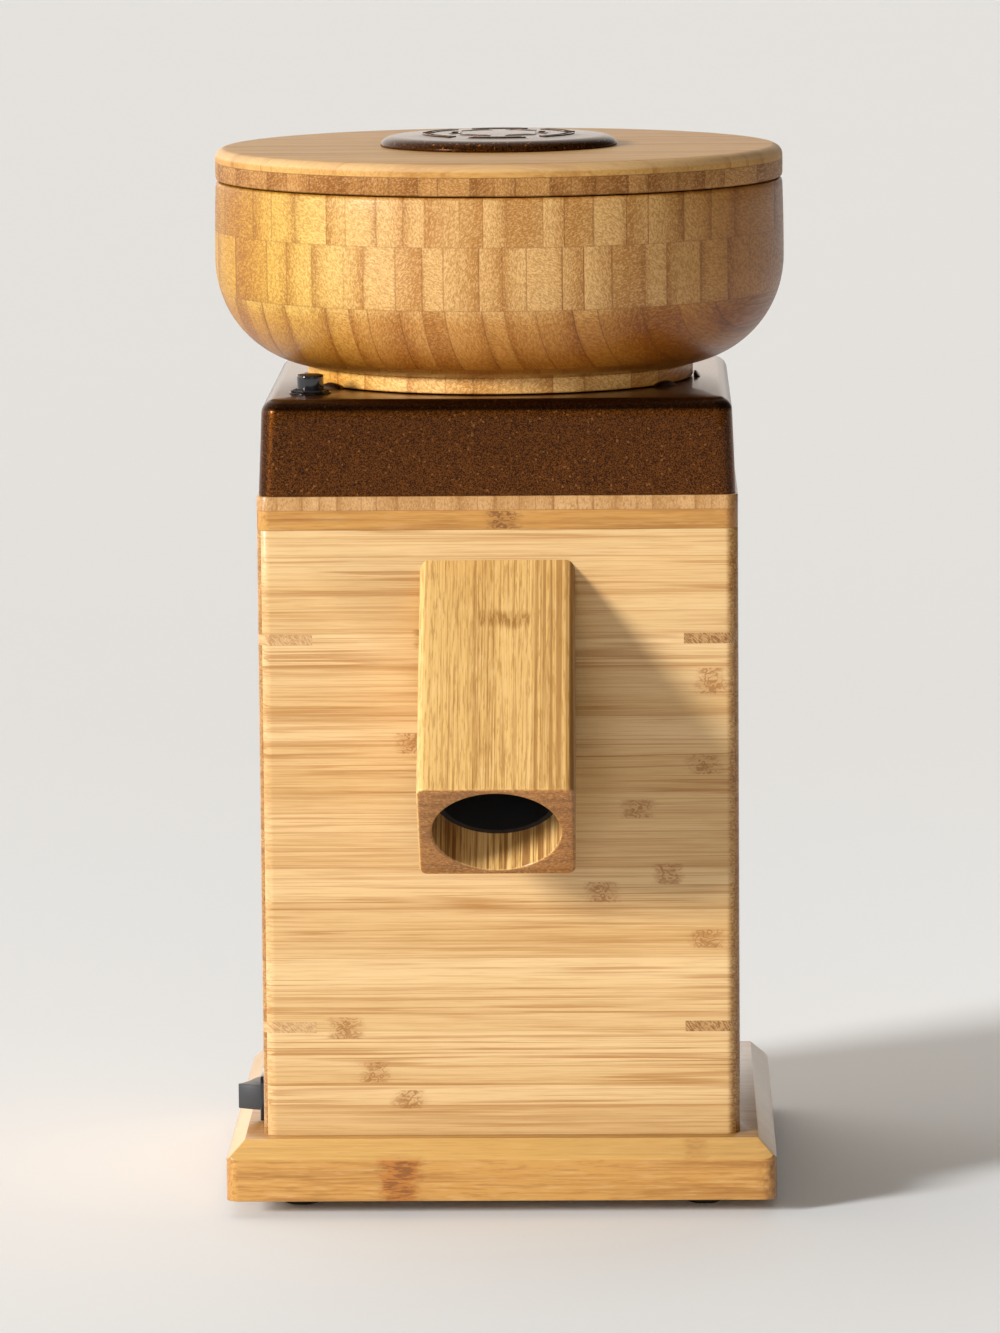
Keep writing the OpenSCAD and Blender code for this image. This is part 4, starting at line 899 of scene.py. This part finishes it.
def base_mesh():
    h, top = 98.5, 91.9
    z0, z1, z2 = Z_BASE, Z_PANEL - 6.6, Z_PANEL
    lo = [(h, h), (-h, h), (-h, -h), (h, -h)]
    hi = [(top, top), (-top, top), (-top, -top), (top, -top)]
    body = loft([[(x, y, z0) for x, y in lo], [(x, y, z1) for x, y in lo], [(x, y, z2) for x, y in hi]])
    holes = [cyl(4, -1, 40, 32, 34 * math.cos(math.radians(30 * k)), 34 * math.sin(math.radians(30 * k))) for k in range(12)]
    holes += [cyl(4, -1, 40, 32, 18 * math.cos(math.radians(60 * k + 15)), 18 * math.sin(math.radians(60 * k + 15))) for k in range(6)]
    for s in (-1, 1):
        for q in (-1, 1):
            for x, y in ((s * 78, q * 30), (s * 30, q * 78)):
                holes.append(place(lathe([(0, 4), (5.1, 4), (5.1, 5.5), (2.5, 8.1), (2.5, 30), (0, 30)], 32), Matrix.Translation(Vector((x, y, 0)) * MM)))
            holes.append(cyl(1.75, 4, 17.5, 24, s * 72.5, q * 72.5))
    return edited(body, ("BOOLEAN", "INTERSECT", prism(rr(197, 197, 4.6, 8), 0, 40)), ("BOOLEAN", "DIFFERENCE", joined(*holes)), ("BEVEL", 0.7, 3, 25))


piece("base_board", base_mesh(), M["base"], "case", ["base_plate"], 35)

feet = []
for sx in (-1, 1):
    for sy in (-1, 1):
        prof = [(3.6, 0.0)] + arc(5.2, 1.9, 1.9, 1.9, -90, 0, 6) + [(7.25, 5.0), (7.0, 5.5), (1.8, 5.5), (1.8, 2.6), (3.6, 2.6)]
        feet.append(place(lathe(prof, 48), Matrix.Translation(Vector((sx * 72.5, sy * 72.5, 0)) * MM)))
piece("rubber_feet", joined(*feet), M["rubber"], "case", ["feet"], 40)


# ------------------------------------------------------------------ spout
def spout_mesh():
    angs = ray_angles(55, 50.5, 3.0, 7)
    edge, lip = 1.2, 0.9
    t_end = (-HALF - SP_Y) / SQ

    def circ(r, t):
        return [(r * math.cos(math.radians(a)), r * math.sin(math.radians(a)), t) for a in angs]

    def slant(pts):
        return [(x, y, t_end - y) for x, y, *_ in pts]

    def sect(inset, t):
        return [(x, y, t) for x, y in rr_at(55 - 2 * inset, 50.5 - 2 * inset, max(3.0 - inset, 0.8), angs)]

    loops = [slant(circ(22.95, 0)), circ(22.95, 16.0), circ(22.5, 16.0)]
    loops += [circ(22.5 + lip * (1 - math.cos(math.radians(a))), lip * (1 - math.sin(math.radians(a)))) for a in (0, 22.5, 45, 67.5, 90)]
    loops += [sect(edge * (1 - math.sin(math.radians(a))), edge * (1 - math.cos(math.radians(a)))) for a in (0, 18, 36, 54, 72, 90)]
    loops.append(slant(sect(0, 0)))
    return place(loft(loops, cyclic=True), SPOUT)


piece("spout", spout_mesh(), M["spout"], "case", ["spout_block"], 30)


# ------------------------------------------------------------------ moulded cover
def cover_mesh():
    angs = ray_angles(169.6, 169.6, 6.6, 12, 2.5)

    def sec(w, r, z):
        return [(x, y, z) for x, y in rr_at(w, w, r, angs)]

    def circ(r, z):
        return [(r * math.cos(math.radians(a)), r * math.sin(math.radians(a)), z) for a in angs]

    top_r = 5.0
    loops = [sec(169.6 - 6, 4.0, Z_CAP), sec(169.6 - 0.8, 6.3, Z_CAP), sec(169.6 - 0.1, 6.5, Z_CAP + 0.25), sec(169.55, 6.6, Z_CAP + 0.6)]
    for k in range(0, 13):
        a = math.radians(7.5 * k)
        d = top_r * (1 - math.cos(a))
        loops.append(sec(167.2 - 2 * d, 6.6 - d * 0.55, Z_CAPTOP - top_r + top_r * math.sin(a)))
    loops += [circ(66.0, Z_CAPTOP), circ(63.9, Z_CAPTOP), circ(63.5, Z_CAPTOP - 0.4), circ(63.5, Z_CAPTOP - 3.0)]
    for k in range(5, -1, -1):
        a = math.radians(18 * k)
        d = 2.5 * (1 - math.cos(a))
        loops.append(sec(167.2 - 6 - 2 * d, 4.6 - d * 0.7, Z_CAPTOP - 3 - 2.5 + 2.5 * math.sin(a)))
    bm = loft(loops, cyclic=True)
    return edited(bm, ("BOOLEAN", "DIFFERENCE", cyl(6.1, Z_CAPTOP - 8, Z_CAPTOP + 4, 48, *BTN)))


def neck_lugs():
    """Four low lugs on the cover, close round the hopper's neck."""
    out = []
    for az in (-90, -57, 57, 90):
        loops = []
        for k in range(17):
            a = -5.2 + 10.4 * k / 16
            h = 0.12 + 1.9 * math.sqrt(max(0.0, 1 - (a / 5.2) ** 2))
            c, s_ = math.cos(math.radians(az + a - 90)), math.sin(math.radians(az + a - 90))
            sect = [(70.85, -0.3), (73.2, -0.3), (73.1, 0.0), (71.9, h * 0.85), (71.3, h), (70.85, h * 0.95)]
            loops.append([(r * c, r * s_, Z_CAPTOP + z) for r, z in sect])
        out.append(loft(loops))
    return joined(*out)


piece("chamber_cover", cover_mesh(), M["bronze"], "case", ["top_cover"], 40)
piece("neck_lugs", neck_lugs(), M["bronze"], "case", angle=40)


# ------------------------------------------------------------------ hopper
def bowl_profile():
    bz = Z_NECK + 44
    out = [(17, Z_NECK), (69.5, Z_NECK), (70.1, Z_NECK + 0.25), (70.3, Z_NECK + 0.8), (70.3, Z_NECK + 4.9), (70.45, Z_NECK + 5.5), (70.9, Z_NECK + 5.9), (71.6, Z_NECK + 6.05)]
    out += arc(66, bz, 103.55 - 66, 38.5, -80, 0, 40)
    out += [(103.55, bz + 6), (103.5, bz + 12), (103.35, bz + 20), (103.1, Z_RIM - 1.6), (102.9, Z_RIM - 0.7), (102.4, Z_RIM - 0.15), (101.8, Z_RIM)]
    out += [(95.2, Z_RIM), (94.5, Z_RIM - 0.2), (94.1, Z_RIM - 0.6), (94.0, Z_RIM - 1.4), (94.0, bz + 2)]
    out += arc(60, bz, 34, 29, 0, -74, 28)
    out += [(60, Z_NECK + 14.9), (46, Z_NECK + 13.2), (32, Z_NECK + 10.7), (21, Z_NECK + 8.6), (18.4, Z_NECK + 7.9), (17.4, Z_NECK + 7.2), (17, Z_NECK + 6.0)]
    return out


piece("bowl", lathe(bowl_profile(), 256), M["bowl"], "hopper", ["hopper_bowl", "hopper_floor"], 50)


def lid_profile():
    lr = 103.15
    out = [(36, Z_LID + 0.4), (36, Z_LIDTOP - 0.3), (36.3, Z_LIDTOP)]
    out += arc(lr - 4.2, Z_LIDTOP - 3.6, 4.2, 3.6, 90, 0, 12)
    out += [(lr + 0.04, Z_LID + 5.0), (lr, Z_LID + 1.3), (lr - 0.25, Z_LID + 0.5), (lr - 0.9, Z_LID + 0.1), (lr - 1.6, Z_LID)]
    out += [(93.5, Z_LID), (93.5, Z_LID - 4.2), (93.1, Z_LID - 5), (88.2, Z_LID - 5), (87.5, Z_LID - 4.2), (87.0, Z_LID)]
    return out


piece("lid", lathe(lid_profile(), 256), M["lid"], "lid", ["lid_board"], 40)


def vent_mesh():
    prof = [(0, Z_LIDTOP - 1.4), (6, Z_LIDTOP - 1.4), (6, Z_LIDTOP + 2.2), (33.4, Z_LIDTOP + 2.2), (33.4, Z_LID - 2.4), (35.6, Z_LID - 2.4), (35.6, Z_LIDTOP)]
    prof += [(42.6, Z_LIDTOP), (42.9, Z_LIDTOP + 0.15), (43.0, Z_LIDTOP + 0.5)]
    prof += [(37 + 6 * math.cos(math.radians(a)), Z_LIDTOP + 0.5 + 3.3 * math.sin(math.radians(a))) for a in range(9, 90, 9)]
    prof += [(37, Z_LIDTOP + 3.8), (33, Z_LIDTOP + 4.05), (28, Z_LIDTOP + 4.26), (24, Z_LIDTOP + 4.36), (18, Z_LIDTOP + 4.50), (12, Z_LIDTOP + 4.61), (6, Z_LIDTOP + 4.67), (0, Z_TOP)]
    bm = lathe(prof, 192)
    cut, lips = [], []
    for k, (r, span) in enumerate(((16, 34), (26, 40))):
        for i in range(6):
            a0 = i * 60 + k * 30 - span / 2
            n = 14
            o = [((r + 1.2) * math.cos(math.radians(a0 + span * j / n)), (r + 1.2) * math.sin(math.radians(a0 + span * j / n))) for j in range(n + 1)]
            e = [((r - 1.2) * math.cos(math.radians(a0 + span * j / n)), (r - 1.2) * math.sin(math.radians(a0 + span * j / n))) for j in range(n, -1, -1)]
            cut.append(prism(fillet(o + e, {0: 1.0, n: 1.0, n + 1: 1.0, 2 * n + 1: 1.0}, 4), Z_LIDTOP - 6, Z_TOP + 5))
            # Low lip round each slot
            w, more = 2.1, span / 2 + math.degrees(0.9 / r)
            mid = math.radians(i * 60 + k * 30)
            ends = [mid + math.radians(more * (2 * j / n - 1)) for j in range(n + 1)]
            o = [((r + w) * math.cos(a), (r + w) * math.sin(a)) for a in ends]
            e = [((r - w) * math.cos(a), (r - w) * math.sin(a)) for a in reversed(ends)]
            lips.append(prism(fillet(o + e, {0: 1.8, n: 1.8, n + 1: 1.8, 2 * n + 1: 1.8}, 5), Z_LIDTOP + 3.4, Z_TOP - (0.0 if k == 0 else 0.06)))
    bm = edited(bm, ("BOOLEAN", "UNION", joined(*lips)), ("BOOLEAN", "DIFFERENCE", joined(*cut)), ("BEVEL", 0.12, 2, 40))
    return bm


piece("vent_dome", vent_mesh(), M["vent"], "lid", ["vent_cover"], 40)

# ------------------------------------------------------------------ button
btn_m = Matrix.Translation(Vector((BTN[0], BTN[1], 0)) * MM)
cap = [(0, Z_CAPTOP - 8), (4.6, Z_CAPTOP - 8), (4.8, Z_CAPTOP - 7.8), (4.8, Z_CAPTOP + 6.0)] + arc(4.15, Z_CAPTOP + 6.0, 0.65, 0.75, 0, 90, 5) + [(3.2, Z_CAPTOP + 6.8), (0, Z_CAPTOP + 6.72)]
piece("push_button", place(lathe(cap, 64), btn_m), M["gloss"], "button", ["reset_button"], 50)
washer = lathe([(6.05, Z_CAPTOP), (7.4, Z_CAPTOP), (7.5, Z_CAPTOP + 0.1), (7.5, Z_CAPTOP + 0.38), (7.35, Z_CAPTOP + 0.5), (6.05, Z_CAPTOP + 0.5)], 72)
hexa = prism([(7.0 * math.cos(math.radians(60 * k + 10)), 7.0 * math.sin(math.radians(60 * k + 10))) for k in range(6)], Z_CAPTOP + 0.5, Z_CAPTOP + 1.3)
cone = lathe([(0, Z_CAPTOP + 0.2), (7.3, Z_CAPTOP + 0.2), (7.3, Z_CAPTOP + 1.0), (6.4, Z_CAPTOP + 1.35), (0, Z_CAPTOP + 1.35)], 72)
nut = edited(hexa, ("BOOLEAN", "INTERSECT", cone), ("BOOLEAN", "DIFFERENCE", cyl(6.05, Z_CAPTOP - 2, Z_CAPTOP + 5, 64)), ("BEVEL", 0.12, 2, 25))
piece("button_nut", place(joined(washer, nut), btn_m), M["nickel"], "case", ["breaker_nut"], 30)



def spring(r, wire, turns, h, dead=0.9, steps=36, sides=12):
    """Wire spring with closed end turns."""
    n = int(turns * steps)
    loops = []
    for i in range(n + 1):
        u = turns * i / n
        run = min(max((u - dead) / (turns - 2 * dead), 0.0), 1.0)
        z = wire + 2 * wire * min(u, dead) * 1.02 + 2 * wire * 1.02 * max(0.0, u - (turns - dead))
        z += (h - 2 * wire - 4 * wire * 1.02 * dead) * run
        a = 2 * math.pi * u
        loops.append([((r + wire * math.cos(b)) * math.cos(a), (r + wire * math.cos(b)) * math.sin(a), z + wire * math.sin(b))
                      for b in (2 * math.pi * k / sides for k in range(sides))])
    return loft(loops)


SPRING_Z = Z_CAPTOP - 17.95
reset_coil = piece("button_coil", place(spring(3.2, 0.4, 5, 9.86), btn_m @ Matrix.Translation(Vector((0, 0, SPRING_Z + 0.02)) * MM)), M["spring"], "case", ["reset_spring"], 50)
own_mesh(reset_coil)
coils = []
for a in (30, 150, 270):
    coils.append(place(spring(3.1, 0.5, 7, Z_CARRIER - Z_FLANGE - 0.14), rot_z(a) @ Matrix.Translation(Vector((54, 0, Z_FLANGE + 0.07)) * MM)))
lift_coils = bpy.data.objects.new("lift_coils", finish_mesh(joined(*coils), "lift_coils", 50, True))
COLL.objects.link(lift_coils)
lift_coils.data.materials.append(M["spring"])
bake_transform(lift_coils)
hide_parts("stone_springs")

# ------------------------------------------------------------------ switch
sw = Matrix.Translation(Vector((-HALF, SW_Y, SW_Z)) * MM)
SW_OUT = 1.0
frame_out = box_bm((-1.2 - SW_OUT, -10.8, -8.2), (0.02, 10.8, 8.2))
inner_cut = box_bm((-4, -9.45, -4.85), (3, 9.45, 4.85))
bez = edited(frame_out, ("BEVEL", 0.5, 3, 30), ("BOOLEAN", "DIFFERENCE", inner_cut))
bodyb = edited(box_bm((0.0, -9.5, -6.5), (14.4, 9.5, 6.5)), ("BOOLEAN", "DIFFERENCE", box_bm((-1, -9.4, -4.8), (0.2, 9.4, 4.8))),
               ("BOOLEAN", "DIFFERENCE", cyl(9.4, -4.8, 4.8, 72, -SW_OUT)), ("BEVEL", 0.15, 1, 40))
tabs = [edited(box_bm((14.3, y - 0.4, -2.4), (22, y + 0.4, 2.4)), ("BEVEL", 0.2, 2, 30)) for y in (-7, 0, 7)]
piece("switch_case", place(joined(bez, bodyb, *tabs), sw), M["gloss"], "case", ["switch_body"], 35)


def rocker_mesh():
    pts = [(5.5, -4), (5.5, 4), (1.5, 9.0), (-2.5, 8.75), (-4.25, 7.9), (-5.05, 5.2), (-5.38, 2.6), (-5.45, 0.3), (-5.95, -2.3), (-6.80, -4.9), (-7.9, -7.35), (-2.5, -8.75), (1.5, -9.0)]
    return edited(prism(pts, -4.5, 4.5), ("BEVEL", 0.30, 3, 12))


def rocker_marks():
    """The plain position marks, a bar and a ring, just proud of the rocker's two faces."""
    bar = prism([(-0.35, -1.9), (0.35, -1.9), (0.35, 1.9), (-0.35, 1.9)], -0.12, 0.06)
    ring = lathe([(1.25, -0.12), (1.85, -0.12), (1.85, 0.06), (1.25, 0.06)], 48)
    out = []
    for bm, a, b in ((bar, (-6.80, -4.9), (-5.95, -2.3)), (ring, (-5.38, 2.6), (-5.05, 5.2))):
        along = Vector((b[0] - a[0], b[1] - a[1], 0)).normalized()
        nrm = Vector((-along.y, along.x, 0))
        up = Vector((0, 0, 1))
        m = Matrix(((along.x, up.x, nrm.x, (a[0] + b[0]) / 2 * MM), (along.y, up.y, nrm.y, (a[1] + b[1]) / 2 * MM), (along.z, up.z, nrm.z, 0), (0, 0, 0, 1)))
        out.append(place(bm, m))
    return joined(*out)


rk = sw @ Matrix.Translation(Vector((-SW_OUT, 0, 0)) * MM) @ rot_z(-14)
piece("rocker", place(rocker_mesh(), rk), M["charcoal"], "rocker", ["switch_rocker"], 35)
piece("rocker_signs", place(rocker_marks(), rk), M["white"], "rocker", angle=30)

# ------------------------------------------------------------------ cord gland
gm = Matrix.Translation(Vector((-52, HALF, Z_PANEL + 21)) * MM) @ Matrix.Rotation(math.radians(-90), 4, "X")
flange = lathe([(3.9, -15), (5.9, -15), (6.0, -14.9), (6.0, 0), (10.2, 0), (10.4, 0.2), (10.4, 1.9), (10.1, 2.2), (3.9, 2.2)], 64)
hexg = edited(prism([(9.4 * math.cos(math.radians(60 * k)), 9.4 * math.sin(math.radians(60 * k))) for k in range(6)], 2.2, 8.9), ("BOOLEAN", "INTERSECT", lathe([(0, 1), (9.35, 1), (9.35, 8.0), (8.3, 9.2), (0, 9.2)], 64)),
              ("BOOLEAN", "DIFFERENCE", cyl(3.9, 0, 12, 48)), ("BEVEL", 0.25, 2, 25))
dome = lathe([(3.75, 8.7), (8.0, 8.7)] + arc(6.3, 10.6, 1.6, 2.2, -20, 80, 6) + [(5.2, 13.0), (4.1, 13.0), (3.75, 12.6)], 64)
nutg = edited(prism([(9.4 * math.cos(math.radians(60 * k)), 9.4 * math.sin(math.radians(60 * k))) for k in range(6)], -13, -8.02), ("BOOLEAN", "DIFFERENCE", cyl(6.02, -20, 0, 48)), ("BEVEL", 0.25, 2, 25))
piece("gland", place(joined(flange, hexg, dome, nutg), gm), M["black"], "case", ["cord_gland"], 35)

# ------------------------------------------------------------------ carried-over CAD pieces get their finish
slot_of = {s["node"]: s["material_slot"] for s in frame["record"]["subparts"]}
for name, ob in frame["nodes"].items():
    ob.data.materials.clear()
    ob.data.materials.append(M[SLOT_MAT[slot_of[name]]])

# ------------------------------------------------------------------ stage
bm = bmesh.new()
bmesh.ops.create_grid(bm, x_segments=4, y_segments=4, size=200.0)
me = bpy.data.meshes.new("floor")
bm.to_mesh(me)
bm.free()
floor = bpy.data.objects.new("floor", me)
COLL.objects.link(floor)
fmat, t = material("floor_paper")
n = t.noise(t.coords(), 3.0, 2.0, 0.5)
fx, fy, fz = t.xyz(t.coords())
# Painted light: the paper near the mill is lighter and bluer than further off
far = t.step(t.m("SQRT", t.add(t.mul(fx, fx), t.mul(fy, fy))), 0.15, 1.3)
paper = t.mix(far, (0.845, 0.868, 0.890), (0.820, 0.832, 0.845))
surface(t, t.mix(n, t.mix(1.0, paper, (0.99, 0.99, 0.99), "MULTIPLY"), paper), 0.85, spec=0.04)
me.materials.append(fmat)

world = bpy.data.worlds.new("studio")
bpy.context.scene.world = world
world.use_nodes = True
wt = Tree(world.node_tree)
wt.n.clear()
wx, wy, wz = wt.xyz(wt.new("ShaderNodeTexCoord").outputs["Generated"])
up = wt.step(wz, 0.15, 0.85, 1.56, 1.00)
over = wt.mul(wt.step(wz, 0.34, 0.62), wt.step(wy, 0.22, -0.08))
up = wt.mul(up, wt.m("SUBTRACT", 1.0, wt.mul(over, 0.72)))
side = wt.step(wx, -0.12, 0.62, 1.0, 0.06)
front = wt.mul(wt.step(wy, -0.30, -0.68), wt.step(wx, 0.40, 0.05))
side = wt.mul(side, wt.m("SUBTRACT", 1.0, wt.mul(front, 0.88)))
bg = wt.new("ShaderNodeBackground")
wt.put(bg.inputs["Color"], (1.03, 0.950, 0.860, 1.0))
wt.put(bg.inputs["Strength"], wt.mul(up, side))
wo = wt.new("ShaderNodeOutputWorld")
wt.l.new(bg.outputs[0], wo.inputs[0])


def aim(ob, direction):
    ob.rotation_mode = "QUATERNION"
    ob.rotation_quaternion = Vector(direction).to_track_quat("-Z", "Y")


sun_data = bpy.data.lights.new("key", "SUN")
sun_data.energy = 4.6
sun_data.angle = math.radians(12.5)
sun_data.color = (1.0, 1.0, 0.985)
sun = bpy.data.objects.new("key", sun_data)
COLL.objects.link(sun)
sun.visible_glossy = False
aim(sun, (1.40, 1.0, -0.52))

# The key's share of the highlights, weaker, so that polished tops don't glare when seen against it
sheen_data = bpy.data.lights.new("sheen", "SUN")
sheen_data.energy = 2.0
sheen_data.angle = math.radians(12.5)
sheen = bpy.data.objects.new("sheen", sheen_data)
COLL.objects.link(sheen)
sheen.visible_diffuse = False
aim(sheen, (1.40, 1.0, -0.52))


# Broad, weak light from near the camera, which gloss doesn't mirror
fill_data = bpy.data.lights.new("fill", "SUN")
fill_data.energy = 1.6
fill_data.angle = math.radians(35.0)
fill_data.color = (1.0, 0.95, 0.88)
fill = bpy.data.objects.new("fill", fill_data)
COLL.objects.link(fill)
fill.visible_glossy = False
aim(fill, (0.02, 1.0, -0.02))

# ------------------------------------------------------------------ camera
yaw, pitch, roll = math.radians(-1.113), math.radians(7.822), math.radians(-0.453)
fwd = Vector((math.sin(yaw) * math.cos(pitch), math.cos(yaw) * math.cos(pitch), -math.sin(pitch)))
right = Vector((math.cos(yaw), -math.sin(yaw), 0))
upv = right.cross(fwd)
r2 = right * math.cos(roll) + upv * math.sin(roll)
u2 = -right * math.sin(roll) + upv * math.cos(roll)
cam_data = bpy.data.cameras.new("camera")
cam = bpy.data.objects.new("camera", cam_data)
COLL.objects.link(cam)
cam_data.sensor_fit = "AUTO"
cam_data.sensor_width = 36.0
cam_data.lens = 7289.0 / 1333.0 * 36.0
cam_data.clip_start, cam_data.clip_end = 0.1, 600.0
cam.matrix_world = Matrix(((r2.x, u2.x, -fwd.x, 0.05053), (r2.y, u2.y, -fwd.y, -2.65258), (r2.z, u2.z, -fwd.z, 0.54922), (0, 0, 0, 1)))
bpy.context.scene.camera = cam
bpy.context.scene.view_settings.view_transform = "Standard"
